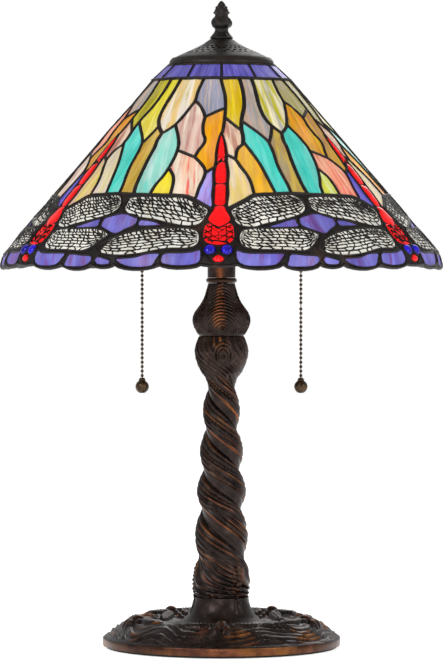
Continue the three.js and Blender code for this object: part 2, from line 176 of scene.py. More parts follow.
# ------------------------------------------------------------------ materials
class Nodes:
    """A short way to write node materials."""

    def __init__(self, name):
        self.material = bpy.data.materials.new(name)
        self.material.use_nodes = True
        self.tree = self.material.node_tree
        self.shader = self.tree.nodes["Principled BSDF"]

    def link(self, value, socket):
        if isinstance(value, bpy.types.NodeSocket):
            self.tree.links.new(value, socket)
        else:
            socket.default_value = value

    def set(self, **values):
        for name, value in values.items():
            self.link(value, self.shader.inputs[name.replace("_", " ")])

    def add(self, kind, output=0, inputs=None, **settings):
        node = self.tree.nodes.new(kind)
        for name, value in settings.items():
            setattr(node, name, value)
        for name, value in (inputs or {}).items():
            self.link(value, node.inputs[name])
        return node.outputs[output]

    def attribute(self, name, output="Vector"):
        return self.add("ShaderNodeAttribute", output, attribute_name=name)

    def place(self):
        return self.add("ShaderNodeTexCoord", "Object")

    def noise(self, vector, scale, detail=3.0, roughness=0.5, distortion=0.0):
        return self.add("ShaderNodeTexNoise", 0, {"Vector": vector, "Scale": scale, "Detail": detail,
                                                   "Roughness": roughness, "Distortion": distortion})

    def ramp(self, value, *stops):
        node = self.tree.nodes.new("ShaderNodeValToRGB")
        self.link(value, node.inputs[0])
        elements = node.color_ramp.elements
        while len(elements) < len(stops):
            elements.new(0.5)
        for element, (at, color) in zip(elements, stops):
            element.position = at
            element.color = color if len(color) == 4 else (*color, 1.0)
        return node.outputs[0]

    def band(self, value, low, high, out_low=0.0, out_high=1.0):
        return self.add("ShaderNodeMapRange", 0, {0: value, 1: low, 2: high, 3: out_low, 4: out_high})

    def mix(self, share, a, b):
        node = self.tree.nodes.new("ShaderNodeMix")
        node.data_type = "RGBA"
        self.link(share, node.inputs[0])
        self.link(a, node.inputs[6])
        self.link(b, node.inputs[7])
        return node.outputs[2]

    def math(self, operation, a, b=0.0):
        return self.add("ShaderNodeMath", 0, {0: a, 1: b}, operation=operation)

    def stretch(self, vector, scale):
        return self.add("ShaderNodeMapping", 0, {"Vector": vector, "Scale": scale})

    def bump(self, height, strength, distance):
        self.set(Normal=self.add("ShaderNodeBump", 0, {"Height": height, "Strength": strength,
                                                       "Distance": distance}))


def srgb(red, green, blue):
    """A linear colour from 0-255 display values."""
    values = [c / 255 for c in (red, green, blue)]
    return tuple(c / 12.92 if c <= 0.04045 else ((c + 0.055) / 1.055) ** 2.4 for c in values)


def streaky_glass():
    """Opalescent sheet glass: three tints per pane, drawn out in long streaks, softly backlit by a painted
    glow, as the glass emits its own colour.
    """
    m = Nodes("streaky_glass")
    flow = m.attribute("flow")
    wander = m.noise(m.stretch(flow, (0.085, 0.014, 1.0)), 1.0, 3.0, 0.55, 0.6)
    fine = m.noise(m.stretch(flow, (0.22, 0.022, 1.0)), 1.0, 4.0, 0.6, 0.3)
    cloud = m.noise(m.stretch(flow, (0.05, 0.03, 1.0)), 1.0, 2.0, 0.5)
    first = m.mix(m.band(wander, 0.44, 0.56), m.attribute("tint_a"), m.attribute("tint_b"))
    second = m.mix(m.band(fine, 0.50, 0.64, 0.0, 0.85), first, m.attribute("tint_c"))
    color = m.mix(m.band(cloud, 0.4, 0.75, 0.0, 0.08), second, (1.0, 0.97, 0.9, 1.0))
    shade = m.band(m.noise(m.stretch(flow, (0.16, 0.02, 1.0)), 1.0, 3.0, 0.6), 0.3, 0.7, 0.7, 1.0)
    color = m.add("ShaderNodeVectorMath", 0, {0: color, "Scale": shade}, operation="SCALE")
    # painted backlight: the glass emits its own colour, as if lit from behind
    m.set(Base_Color=m.mix(0.35, color, (0.0, 0.0, 0.0, 1.0)), Emission_Color=color,
          Emission_Strength=GLASS_PAINTED_BACKLIGHT, Roughness=0.3, Specular_IOR_Level=0.15)
    ripple = m.noise(m.stretch(flow, (0.2, 0.06, 1.0)), 1.0, 2.0)
    m.bump(ripple, 0.25, 0.0008)
    return m.material


def lead_line():
    """Patinated solder: nearly black brown, brighter and coppery where it is worn."""
    m = Nodes("lead_line")
    place = m.place()
    mottle = m.noise(place, 260.0, 4.0, 0.6)
    rub = m.noise(place, 45.0, 3.0, 0.5)
    dark = m.ramp(mottle, (0.3, srgb(12, 9, 8)), (0.7, srgb(32, 25, 22)))
    color = m.mix(m.band(rub, 0.56, 0.8, 0.0, 0.3), dark, (*srgb(96, 66, 50), 1.0))
    m.set(Base_Color=color, Metallic=0.35, Roughness=m.band(mottle, 0.3, 0.7, 0.42, 0.62),
          Specular_IOR_Level=0.35)
    m.bump(m.noise(place, 500.0, 3.0), 0.3, 0.0004)
    return m.material


def antique_bronze(name, dark, middle, light, metallic=0.85, gloss=(0.24, 0.42)):
    """Cast bronze with a black-brown patina, worn to copper and amber on the raised relief, with painted
    copper highlights carried in the same attribute as the wear.
    """
    m = Nodes(name)
    place = m.place()
    mottle = m.noise(place, 90.0, 5.0, 0.6)
    broad = m.noise(place, 22.0, 3.0, 0.5)
    # the attribute read here holds real wear and painted copper highlights together
    wear = m.attribute("wear", "Fac")
    patina = m.ramp(mottle, (0.28, dark), (0.55, middle), (0.8, light))
    copper = m.ramp(broad, (0.3, srgb(112, 56, 34)), (0.5, srgb(160, 92, 50)), (0.7, srgb(172, 112, 32)))
    share = m.math("MULTIPLY", wear, m.band(mottle, 0.3, 0.62, 0.35, 1.0))
    m.set(Base_Color=m.mix(share, patina, copper), Metallic=metallic,
          Roughness=m.band(mottle, 0.3, 0.7, *gloss))
    m.bump(m.noise(place, 700.0, 4.0, 0.6), 0.25, 0.0004)
    return m.material


def jewel_glass(name, deep, bright, painted_light):
    """A pressed glass jewel of one clear colour with darker cords in it, which emits its own colour as
    painted light of the given strength.
    """
    m = Nodes(name)
    depth = m.noise(m.place(), 120.0, 2.0)
    color = m.ramp(depth, (0.3, deep), (0.7, bright))
    # painted light: the jewel glows in its own colour
    m.set(Base_Color=color, Emission_Color=color, Emission_Strength=painted_light, Roughness=0.15,
          Specular_IOR_Level=0.3)
    m.bump(m.noise(m.place(), 260.0, 2.0), 0.12, 0.0006)
    return m.material


def plain_metal(name, low, high, metallic, rough_low, rough_high, scale=300.0):
    m = Nodes(name)
    grain = m.noise(m.place(), scale, 4.0, 0.6)
    m.set(Base_Color=m.ramp(grain, (0.3, low), (0.7, high)), Metallic=metallic,
          Roughness=m.band(grain, 0.3, 0.7, rough_low, rough_high))
    m.bump(grain, 0.15, 0.0003)
    return m.material


def white_floor():
    """A pale studio sweep, lit evenly by itself so that it meets the backdrop without a line."""
    m = Nodes("floor_white")
    grain = m.noise(m.place(), 30.0, 2.0)
    m.set(Base_Color=m.ramp(grain, (0.3, (0.93, 0.93, 0.93)), (0.7, (0.95, 0.95, 0.95))), Roughness=0.95,
          Emission_Color=(1.0, 1.0, 1.0, 1.0), Emission_Strength=0.7)
    return m.material


# strength of the painted backlight that the shade's glass emits
GLASS_PAINTED_BACKLIGHT = 0.40
AMBIENT = 0.5
STREAKY = streaky_glass()
LEAD = lead_line()
BRONZE = antique_bronze("antique_bronze", srgb(24, 18, 17), srgb(46, 37, 34), srgb(74, 62, 58))
BLACK_BRONZE = antique_bronze("black_bronze", srgb(10, 9, 8), srgb(26, 24, 22), srgb(44, 41, 38),
                              metallic=0.5, gloss=(0.36, 0.56))
# the last number of each jewel glass is the strength of its painted glow
RED_GLASS = jewel_glass("red_glass", srgb(190, 0, 6), srgb(236, 4, 10), 0.42)
COBALT_GLASS = jewel_glass("cobalt_glass", srgb(10, 2, 96), srgb(34, 10, 200), 0.16)
BRASS = plain_metal("oxidised_brass", srgb(44, 35, 28), srgb(92, 74, 54), 0.9, 0.28, 0.5)
STEEL = plain_metal("zinc_steel", srgb(120, 120, 118), srgb(170, 170, 166), 1.0, 0.3, 0.45)
IRON = plain_metal("cast_iron", srgb(40, 40, 42), srgb(84, 82, 80), 0.6, 0.6, 0.85, 420.0)
PHENOLIC = plain_metal("black_phenolic", srgb(14, 13, 13), srgb(34, 32, 31), 0.0, 0.35, 0.5, 160.0)
RUBBER = plain_metal("black_rubber", srgb(16, 16, 16), srgb(36, 35, 34), 0.0, 0.7, 0.9, 500.0)
FELT = plain_metal("dark_felt", srgb(14, 15, 14), srgb(46, 46, 42), 0.0, 0.95, 1.0, 900.0)
FROSTED = jewel_glass("frosted_glass", srgb(176, 172, 164), srgb(204, 200, 190), 0.03)

# ------------------------------------------------------------------ the shade's surface
SHOULDER = (64.0, 523.0)
CROWN_TOP = (46.2, 539.4)
SHOULDER_SLOPE = 25.0  # distance down the slope at the shoulder
TURN_START = (197.0, 367.9)  # the cone starts to turn down here
TURN_CORNER = (202.6, 361.4)
TURN_END = (203.2, 350.0)
LOWEST = (203.3, 343.0)
GLASS = 3.0


class Slope:
    """An outline turned round the axis, on which places are (azimuth, distance down the slope)."""

    def __init__(self, outline, start=0.0, reach=1.5):
        self.radii, self.heights, self.reach = [], [], reach
        for i, (radius, height) in enumerate(outline):
            start += math.dist(outline[i - 1], (radius, height)) if i else 0.0
            self.radii.append((start, radius))
            self.heights.append((start, height))
        self.length = start

    def at(self, slope):
        return reading(self.radii, slope), reading(self.heights, slope)

    def point(self, degrees, slope, rise=0.0):
        """The point at an azimuth and slope distance, rise millimetres outside the face."""
        r0, z0 = self.at(slope - self.reach)
        r1, z1 = self.at(slope + self.reach)
        length = math.hypot(r1 - r0, z1 - z0) or 1.0
        radius, height = self.at(slope)
        return around(radius + rise * (z0 - z1) / length, degrees, height + rise * (r1 - r0) / length)


TURN = [tuple(bent(*places, i / 8) for places in zip(TURN_START, TURN_CORNER, TURN_END))
        for i in range(1, 9)]
SHADE = Slope([CROWN_TOP, SHOULDER, TURN_START, *TURN, LOWEST],
              start=SHOULDER_SLOPE - math.dist(CROWN_TOP, SHOULDER))
on_shade = SHADE.point


def per_degree(slope):
    """Millimetres along the shade for one degree of azimuth."""
    return math.radians(1) * SHADE.at(slope)[0]


# ------------------------------------------------------------------ the glazier's drawing
SECTORS = 6
SECTOR = 60.0
FIELD_TOP = 24.6

# lead lines of one sector's field, from a body at 0 to the next body at 60 degrees
FIELD_LINES = {
    "tail": [(-0.6, 24.6), (1, 35.5), (2.3, 45.5), (2.5, 55.5), (2.2, 65), (1.8, 73), (1, 84.5),
             (0.4, 91.5)],
    "tail_branch": [(1.8, 73), (6, 81.5), (10, 89.5)],
    "yellow_side": [(14.6, 24.6), (15.1, 36), (14.8, 47.5), (13.5, 60.5), (11.6, 70), (10.5, 78),
                    (9.9, 86.5), (10, 97.5), (9.5, 105.5)],
    "grey_side": [(25.1, 24.6), (24.7, 36), (24.1, 46), (23.4, 55.5), (23.4, 65.5), (24.2, 75),
                  (26.4, 83), (30.2, 92)],
    "grey_foot": [(10.5, 77), (16.1, 88), (19.8, 96.5), (21.7, 103.5)],
    "tan_top": [(26.4, 83), (24.1, 94), (21.7, 103.5)],
    "teal_side": [(21.7, 103.5), (22.2, 114.5), (22.1, 129.5), (22.8, 144), (23.5, 154), (23.7, 165)],
    "seam": [(30.2, 92), (29.4, 101), (29.6, 110), (29.1, 124.5), (29, 139.5), (29.1, 154.5), (29.8, 165.5)],
    "cream_side": [(45.9, 24.6), (44.8, 31.5), (43.5, 41.5), (43.2, 52.5), (41.4, 60), (39.7, 67),
                   (37.9, 74), (35.8, 81.5), (33.5, 86.5), (30.2, 92)],
    "olive_foot": [(43.2, 52.5), (45.9, 56.5), (48.2, 61.5), (49.8, 66.5), (51.1, 72.5)],
    "olive_edge": [(51.1, 72.5), (56.3, 67), (62.5, 61.5)],
    "teal_right": [(35.8, 81.5), (38.6, 92.5), (40.1, 100.5), (40.9, 107.5), (40.9, 115.5), (40.5, 123.5),
                   (39.7, 133), (38.2, 145), (36.5, 155), (35.8, 165.5)],
    "gold_side": [(51.1, 72.5), (50.6, 81.5), (51.2, 91.5), (52.5, 99.5), (52, 106), (50.3, 113),
                  (49.1, 121)],
    "salmon_top": [(40.9, 112.5), (44.9, 116.5), (49.1, 121)],
    "salmon_side": [(49.1, 121), (51.5, 127), (53.5, 134), (54, 140), (53.4, 148), (52.4, 157),
                    (51.8, 168)],
    "green_side": [(39.7, 134), (42.2, 143), (43, 153), (43, 166)],
    "violet_top": [(54, 140), (56.4, 135), (58.6, 131), (60.3, 122.5)],
    "pink_foot": [(9.5, 105.5), (6.7, 112), (5.6, 124)],
    "cream_edge": [(2, 118), (5.6, 124), (7.2, 132), (8.7, 139), (9.8, 146), (10.4, 153.5), (10.8, 166.5)],
    "teal_left": [(9.8, 102.5), (12.6, 115), (15, 129), (16.5, 144), (17.7, 159), (18.1, 165)],
}

# the two side leads of a body, from the tail tip to the head, as half widths in degrees
BODY_HALF = [(91.5, 0.1), (102.5, 1.46), (116, 2.18), (126, 2.18), (139, 2.81), (151.5, 2.5), (165.5, 2.6),
             (178.5, 2.18), (185.5, 3.12), (193, 3.95), (200, 4.58), (209, 4.89), (219, 4.78), (225, 4.37),
             (231, 4.37), (237.5, 3.12), (242, 1.46)]
BODY_LEAN = 0.8  # degrees that the head stands to the left of the tail tip

# red glass of the body: (slope, half width in degrees) down each segment
BODY_SEGMENTS = [
    [(94.5, 0.05), (102.5, 0.83), (112, 1.3), (120, 1.35), (125.5, 1.2)],
    [(127.5, 1.25), (134, 1.77), (141.5, 1.98), (147.5, 1.82), (152, 1.4)],
    [(154, 1.46), (160.5, 1.72), (168.5, 1.66), (177.5, 1.4)],
    [(179.5, 1.25), (185.5, 2.08), (192, 3.02), (196, 3.02), (200, 1.77), (203, 0.16)],
]

UPPER_RIGHT = [(3.2, 184.5), (5.6, 179.5), (8.4, 174), (11, 169), (17.8, 167.5), (23.4, 166.5), (25.6, 171),
               (26.5, 180), (24.8, 186.5), (21.9, 190.5), (16.7, 195.5), (12, 199.5), (9, 203), (5.5, 201),
               (3.9, 195)]
UPPER_LEFT = [(-4.4, 183.5), (-8.1, 176.5), (-12.4, 170), (-17.6, 169.5), (-22.7, 168.5), (-27.5, 168.5),
              (-31.0, 170.5), (-31.5, 177.5), (-29.8, 185), (-25.8, 190.5), (-19.6, 194), (-15, 198),
              (-9.8, 201.5), (-6.5, 199.5), (-5.1, 192)]
LOWER_RIGHT = [(5.7, 209), (8.4, 206), (14.6, 206), (21.4, 206), (25.4, 209), (27.2, 213), (26, 218),
               (24.2, 224.5), (21.6, 230), (15.6, 229), (8.9, 228.5), (5.8, 225), (5, 217)]
LOWER_LEFT = [(-6.6, 210), (-9.3, 206), (-14.4, 205.5), (-20.7, 207), (-25.8, 210.5), (-29, 214.5),
              (-31.6, 220), (-33.6, 226), (-32.8, 231.5), (-27.8, 234.5), (-21.6, 233), (-14.4, 227.5),
              (-8.7, 227), (-6.4, 222)]

# outlines of the violet panes between and below the wings
GAP_PANES = {
    "triangle_right": [(13, 203.5), (17.2, 198.5), (21.7, 194), (22, 198.5), (21.9, 203)],
    "triangle_left": [(-24.2, 195.5), (-20.1, 197), (-17.1, 201), (-20.7, 202), (-24.2, 201.5)],
    "hexagon": [(23.5, 193), (26, 190), (28.8, 188), (31.6, 189), (34.3, 191.5), (34.9, 196.5),
                (34.5, 201), (32, 206), (29.6, 211), (26.4, 207), (23.4, 202), (23.1, 197.5)],
    "skirt_right_1": [(3.8, 230.5), (5.5, 232.5), (7.8, 233.5), (12, 233.5), (16, 234),
                      (15.2, 239), (13.6, 244), (9.6, 245.4), (5.6, 244.4), (3.9, 239.5)],
    "skirt_right_2": [(17.8, 234.5), (21.7, 235.5), (24.9, 236.3), (25.3, 240.5), (23.6, 245), (20.3, 246.0),
                      (16.6, 245.2), (17.0, 240)],
    "skirt_left_1": [(-5.5, 230), (-7.4, 232), (-10.3, 233), (-14.4, 233.5), (-15.2, 238),
                     (-15.0, 242.5), (-12.5, 244.4), (-9.8, 244.8), (-6.6, 243.4), (-5.3, 239.5)],
    "skirt_left_2": [(-15.8, 234), (-19.1, 234), (-22.5, 237.5), (-27.4, 239), (-26.2, 242.8),
                     (-23.3, 245.8), (-20.2, 246.2), (-17.4, 244.6), (-16.6, 239.5)],
    "skirt_seam": [(26.9, 237.0), (28.8, 238.2), (31.0, 240.6), (30.8, 243.2), (28.8, 244.2),
                   (27.0, 243.2), (26.3, 240)],
}

# the scalloped lower edge: one lobe under each skirt pane, as (start, end, lowest slope)
SCALLOPS = [(-5.2, 4.0, 244.8), (4.0, 15.6, 247.6), (15.6, 25.6, 248.4), (25.6, 32.2, 246.6),
            (32.2, 44.2, 248.2), (44.2, 54.8, 247.0)]
SCALLOP_NOTCH = 243.6

# the solder band along the top of the wings, from one body to the next
BAND_LEFT = [(-30.6, 165), (-27.9, 165.2), (-20.7, 166), (-12.4, 167), (-8.9, 171), (-4.6, 179.5),
             (-2.6, 184)]
BAND_RIGHT = [(1.8, 184), (2.9, 180.5), (7.7, 171.5), (10.8, 166), (16.6, 165), (22.8, 164), (29.4, 165)]
# cuts that part one sector's solder from the next, above and below the hexagon
CUTS = [[(29.4, 164), (29.0, 176), (28.8, 189)],
        [(29.6, 210), (28.4, 221), (27.5, 230.5), (28.3, 235), (30.4, 237.2), (32.0, 240.5),
         (32.1, 245), (32.2, 252)]]

# ------------------------------------------------------------------ glass colours
TINTS = {
    "yellow": ((226, 200, 22), (204, 172, 12), (228, 196, 110)),
    "olive_yellow": ((196, 184, 24), (160, 150, 18), (214, 206, 96)),
    "bright_yellow": ((226, 214, 60), (240, 226, 120), (222, 202, 6)),
    "grey_mauve": ((156, 156, 148), (198, 172, 154), (168, 164, 170)),
    "cream": ((236, 226, 188), (194, 186, 52), (184, 184, 190)),
    "cream_gold": ((226, 190, 128), (236, 226, 212), (200, 184, 70)),
    "olive_grey": ((172, 162, 96), (190, 176, 150), (138, 144, 60)),
    "grey_blue": ((196, 180, 172), (158, 160, 180), (222, 200, 190)),
    "gold": ((214, 170, 24), (228, 152, 20), (152, 122, 56)),
    "pink_white": ((228, 198, 184), (246, 232, 214), (206, 150, 140)),
    "rust": ((192, 152, 82), (206, 160, 48), (150, 100, 66)),
    "orange": ((236, 170, 16), (220, 150, 60), (206, 140, 20)),
    "teal": ((86, 212, 196), (114, 216, 204), (66, 196, 188)),
    "pale_teal": ((154, 218, 204), (196, 232, 224), (120, 214, 200)),
    "tan": ((178, 140, 92), (198, 172, 76), (158, 148, 124)),
    "gold_tan": ((190, 160, 70), (206, 176, 92), (196, 150, 60)),
    "pale_green": ((212, 220, 146), (206, 206, 76), (226, 226, 190)),
    "lemon": ((240, 226, 20), (236, 214, 70), (230, 160, 30)),
    "salmon": ((248, 188, 160), (250, 158, 132), (222, 72, 54)),
    "cream_red": ((252, 234, 212), (252, 208, 182), (244, 60, 50)),
    "violet": ((104, 92, 202), (86, 80, 190), (132, 112, 212)),
    "lilac": ((184, 164, 228), (164, 162, 236), (154, 126, 194)),
    "pink_cream": ((238, 206, 180), (194, 138, 122), (250, 232, 206)),
    "white_yellow": ((240, 222, 194), (238, 212, 140), (232, 206, 200)),
    "pink_yellow": ((222, 200, 90), (214, 180, 160), (230, 214, 140)),
    "yellow_orange": ((232, 174, 8), (218, 168, 74), (226, 184, 36)),
    "cream_pale": ((236, 222, 184), (236, 220, 214), (240, 230, 170)),
    "crown": ((92, 86, 172), (116, 108, 196), (72, 62, 140)),
    "wing": ((246, 244, 234), (236, 232, 220), (252, 251, 246)),
    "periwinkle": ((110, 104, 184), (126, 122, 200), (118, 76, 142)),
}

# a seed inside each pane of a sector: place, tints for the right front, the left front, the others
SEEDS = {
    "pane_1": ((7.5, 50.5), "yellow", "olive_yellow", "olive_grey"),
    "pane_2": ((19, 55.5), "grey_mauve", "bright_yellow", "cream"),
    "pane_3": ((33.6, 56), "cream", "cream_gold", "yellow"),
    "pane_4": ((53.6, 42), "olive_grey", "grey_blue", "grey_mauve"),
    "pane_5": ((44.9, 91), "gold", "pink_white", "salmon"),
    "pane_6": ((56.3, 101.5), "rust", "orange", "gold"),
    "pane_7": ((15.7, 114.5), "teal", "teal", "pale_teal"),
    "pane_8": ((25.6, 129.5), "tan", "gold_tan", "bright_yellow"),
    "pane_9": ((34.4, 125), "teal", "pale_teal", "teal"),
    "pane_10": ((39.5, 158), "pale_green", "lemon", "pale_green"),
    "pane_11": ((46.8, 145.5), "salmon", "cream_red", "pink_white"),
    "pane_12": ((56.1, 151), "violet", "lilac", "violet"),
    "pane_13": ((5.3, 99.5), "pink_cream", "pink_cream", "pink_cream"),
    "pane_14": ((5.3, 148.5), "white_yellow", "pink_yellow", "cream_pale"),
    "pane_15": ((13.6, 152), "yellow_orange", "cream_pale", "orange"),
}


def lean(slope):
    return -BODY_LEAN * smooth(95, 235, slope)


def placed(points, sector):
    return [(sector * SECTOR + a, t) for a, t in points]


def leaning(points):
    return [(a + lean(t), t) for a, t in points]


def middle_of(outline):
    return tuple(sum(values) / len(outline) for values in zip(*outline))


def grown(outline, margin):
    """An outline moved outwards by margin millimetres."""
    scale = per_degree(middle_of(outline)[1])
    flat = [Vector((a * scale, t)) for a, t in outline]
    area = sum(p.x * q.y - q.x * p.y for p, q in zip(flat, flat[1:] + flat[:1]))
    turn = 1 if area > 0 else -1
    moved = []
    for i, p in enumerate(flat):
        along = flat[(i + 1) % len(flat)] - flat[i - 1]
        out = Vector((along.y, -along.x)).normalized() * turn * margin
        moved.append(((p.x + out.x) / scale, p.y + out.y))
    return moved


REACH = 9.0  # a line's end is joined to another line that is no further away than this
OVERSHOOT = 0.5


def nearest_on(line, place):
    """The distance to a line of points, in millimetres, and the closest point on it."""
    scale = per_degree(place[1])
    best = (REACH, None)
    here = Vector((place[0] * scale, place[1]))
    for (a0, t0), (a1, t1) in zip(line, line[1:]):
        start, end = Vector((a0 * scale, t0)), Vector((a1 * scale, t1))
        along = end - start
        if along.length_squared == 0:
            continue
        spot = start + along * clamp((here - start).dot(along) / along.length_squared)
        if (spot - here).length < best[0]:
            best = ((spot - here).length, (spot.x / scale, spot.y))
    return best


def join_ends(leads, others):
    """Runs the ends of open lines on to the nearest line, so that no pane is left open."""
    repeated = list(others)
    for lead in leads:
        loop = lead.points + lead.points[:1] if lead.closed else lead.points
        repeated += [(lead, placed(loop, sector)) for sector in (-1, 0, 1)]
    for lead in leads:
        if lead.closed:
            continue
        for end in (0, -1):
            place = lead.points[end]
            found = [nearest_on(line, place) for owner, line in repeated if owner is not lead]
            gap, spot = min((item for item in found if item[1]), default=(0, None))
            if gap > 0.05:
                more = 1 + OVERSHOOT / gap
                spot = tuple(lerp(a, b, more) for a, b in zip(place, spot))
                lead.points = [spot] + lead.points if end == 0 else lead.points + [spot]


def scallop_line(sector):
    points = []
    for start, end, low in SCALLOPS:
        for share in (0.0, 0.1, 0.25, 0.42, 0.6, 0.76, 0.9):
            depth = math.sin(math.pi * share) ** 0.6 if share else 0.0
            points.append((lerp(start, end, share), lerp(SCALLOP_NOTCH, low, depth)))
    return placed(points, sector)


class Lead:
    """One lead line: sampled (azimuth, slope) points, its width, and whether it closes."""

    def __init__(self, points, width, closed=False, height=1.3):
        self.points = [tuple(p) for p in points]
        self.width, self.closed, self.height = width, closed, height


def sector_leads():
    """The lead lines that start in the sector of the body at azimuth 0."""
    leads = []
    for name, points in FIELD_LINES.items():
        width = 4.9 if name in ("seam", "grey_side", "yellow_side") else 4.1
        leads.append(Lead(flow_curve(points), width))
    for side in (-1, 1):
        leads.append(Lead(flow_curve(leaning([(side * half, t) for t, half in BODY_HALF])), 3.0))
    for wing in (UPPER_RIGHT, UPPER_LEFT, LOWER_RIGHT, LOWER_LEFT):
        leads.append(Lead(flow_curve(grown(wing, 1.3), closed=True), 2.6, True, 1.5))
    for outline in GAP_PANES.values():
        leads.append(Lead(flow_curve(grown(outline, 0.6), closed=True), 2.6, True))
    leads.append(Lead(flow_curve(BAND_LEFT), 4.4, height=1.7))
    leads.append(Lead(flow_curve(BAND_RIGHT), 4.4, height=1.7))
    edge = [p for sector in (-1, 0, 1) for p in scallop_line(sector)]
    join_ends(leads, [(None, [(-90, FIELD_TOP), (90, FIELD_TOP)]), (None, edge)])
    return leads


def around_line(slope, width, height=1.3, waviness=0.0):
    points = [(a, slope + waviness * noise.noise(Vector((a * 0.15, slope, 0)))) for a in range(-180, 180, 2)]
    return Lead(points, width, True, height)


# ------------------------------------------------------------------ cutting the panes
CUT_SCALE = 2.6  # drawing millimetres per degree while cutting
NEAR = 3.0  # filling points keep about this far from the lines


def arrange(lines, left, right, low, high, spacing):
    """Splits a drawing along its lines. Returns its points, its triangles and its regions."""
    points, edges, near = [], [], set()
    for line, closed in lines:
        start = len(points)
        points += [Vector((a * CUT_SCALE, t)) for a, t in line]
        edges += [(start + i, start + i + 1) for i in range(len(line) - 1)]
        if closed:
            edges.append((len(points) - 1, start))
    near = {(round(p.x / NEAR), round(p.y / NEAR)) for p in points}
    row_height = spacing * 0.866
    for row in range(1, int((high - low) / row_height)):
        for column in range(int((right - left) * CUT_SCALE / spacing)):
            x = left * CUT_SCALE + (column + 0.5 * (row % 2)) * spacing
            y = low + row * row_height
            if (round(x / NEAR), round(y / NEAR)) not in near:
                points.append(Vector((x, y)))
    out, out_edges, faces, _, sources, _ = delaunay_2d_cdt(points, edges, [], 0, 1e-3, True)
    walls = {tuple(sorted(edge)) for edge, source in zip(out_edges, sources) if source}
    touching = {}
    for index, face in enumerate(faces):
        for i in range(3):
            touching.setdefault(tuple(sorted((face[i - 1], face[i]))), []).append(index)
    region, regions = {}, []
    for start in range(len(faces)):
        if start in region:
            continue
        region[start] = len(regions)
        stack, members = [start], []
        while stack:
            face = stack.pop()
            members.append(face)
            corners = faces[face]
            for i in range(3):
                key = tuple(sorted((corners[i - 1], corners[i])))
                for other in () if key in walls else touching[key]:
                    if other not in region:
                        region[other] = len(regions)
                        stack.append(other)
        regions.append(members)
    return [(p[0] / CUT_SCALE, p[1]) for p in out], faces, region, regions


def region_at(flat, faces, region, place):
    x, y = place
    for index, face in enumerate(faces):
        turns = []
        for i in range(3):
            (ax, ay), (bx, by) = flat[face[i - 1]], flat[face[i]]
            turns.append((bx - ax) * (y - ay) - (by - ay) * (x - ax))
        if min(turns) >= 0 or max(turns) <= 0:
            return region[index]
    return None


def plate(build, flat, faces, members, surface, turn_by, top, bottom, rough=0.0, **values):
    """A closed plate over some triangles of a drawing, from rise bottom to rise top of a surface."""
    used = sorted({i for face in members for i in faces[face]})
    slot = {corner: i for i, corner in enumerate(used)}
    edge_use = {(faces[face][i - 1], faces[face][i]) for face in members for i in range(3)}
    rim = [(a, b) for a, b in edge_use if (b, a) not in edge_use]
    rim.sort()
    on_rim = {i for edge in rim for i in edge}
    count = len(used)
    outer, inner = [], []
    for corner in used:
        a, t = flat[corner]
        swell = 0.0 if corner in on_rim else rough * noise.noise(Vector((a * 0.35, t * 0.16, 7.7)))
        outer.append(surface.point(a + turn_by, t, top + swell))
        inner.append(surface.point(a + turn_by, t, bottom - swell))
    mesh_faces = []
    for face in members:
        corners = [slot[i] for i in faces[face]]
        mesh_faces.append(tuple(corners[::-1]))
        mesh_faces.append(tuple(count + i for i in corners))
    mesh_faces += [(slot[a], slot[b], count + slot[b], count + slot[a]) for a, b in rim]
    doubled = {name: (value * 2 if isinstance(value, list) else value) for name, value in values.items()}
    build.island(outer + inner, mesh_faces, **doubled)


DEEPER = 1.16  # how much further from grey the glass is than the tints say


def deepened(color):
    """A display colour moved a little away from grey."""
    grey = sum(color) / 3
    return [clamp(grey + (c - grey) * DEEPER, 0, 255) for c in color]


def tinted(build, flat, faces, members, turn_by, tint, rng):
    """One pane of streaky glass in a named tint, turned by some degrees about the axis."""
    used = sorted({i for face in members for i in faces[face]})
    tilt = math.radians(rng.uniform(-9, 9))
    offset = rng.uniform(0, 400)
    jitter = rng.uniform(0.93, 1.05)
    flow = []
    for corner in used:
        x, y = flat[corner][0] * per_degree(150), flat[corner][1]
        flow.append((x * math.cos(tilt) - y * math.sin(tilt) + offset,
                     x * math.sin(tilt) + y * math.cos(tilt), offset * 3.1))
    colors = [tuple(min(1.0, c * jitter) for c in srgb(*deepened(color))) for color in TINTS[tint]]
    plate(build, flat, faces, members, SHADE, turn_by, 0.0, -GLASS, 0.45, flow=flow,
          tint_a=colors[0], tint_b=colors[1], tint_c=colors[2])


# ------------------------------------------------------------------ lead tubes
LEAD_SIDES = 8


def lead_tube(build, lead, turn_by=0.0, inner=-GLASS - 0.9):
    """A rounded solder seam that stands proud of the glass outside and inside."""
    points = lead.points
    count = len(points)
    vertices = []
    for i, (a, t) in enumerate(points):
        before = points[i - 1] if (i or lead.closed) else points[i]
        after = points[(i + 1) % count] if (i < count - 1 or lead.closed) else points[i]
        gap = (after[0] - before[0] + 180) % 360 - 180
        along = Vector((gap * per_degree(t), after[1] - before[1]))
        along = along.normalized() if along.length else Vector((0, 1))
        wobble = 1 + 0.10 * noise.noise(Vector((a * 0.9, t * 0.35, 2.2)))
        half = lead.width / 2 * wobble
        crest = lead.height * (1 + 0.18 * noise.noise(Vector((a * 1.3, t * 0.5, 9.1))))
        middle = (crest + inner) / 2
        for side in range(LEAD_SIDES):
            angle = TAU * side / LEAD_SIDES
            across = half * math.cos(angle)
            rise = middle + (crest - middle) * math.sin(angle)
            place = a + turn_by + across * along.y / per_degree(t)
            vertices.append(on_shade(place, t - across * along.x, rise))
    faces = ring_faces(count, LEAD_SIDES, lead.closed)
    if not lead.closed:
        faces += [tuple(range(LEAD_SIDES)), tuple((count - 1) * LEAD_SIDES + i
                                                  for i in reversed(range(LEAD_SIDES)))]
    build.island(vertices, faces)


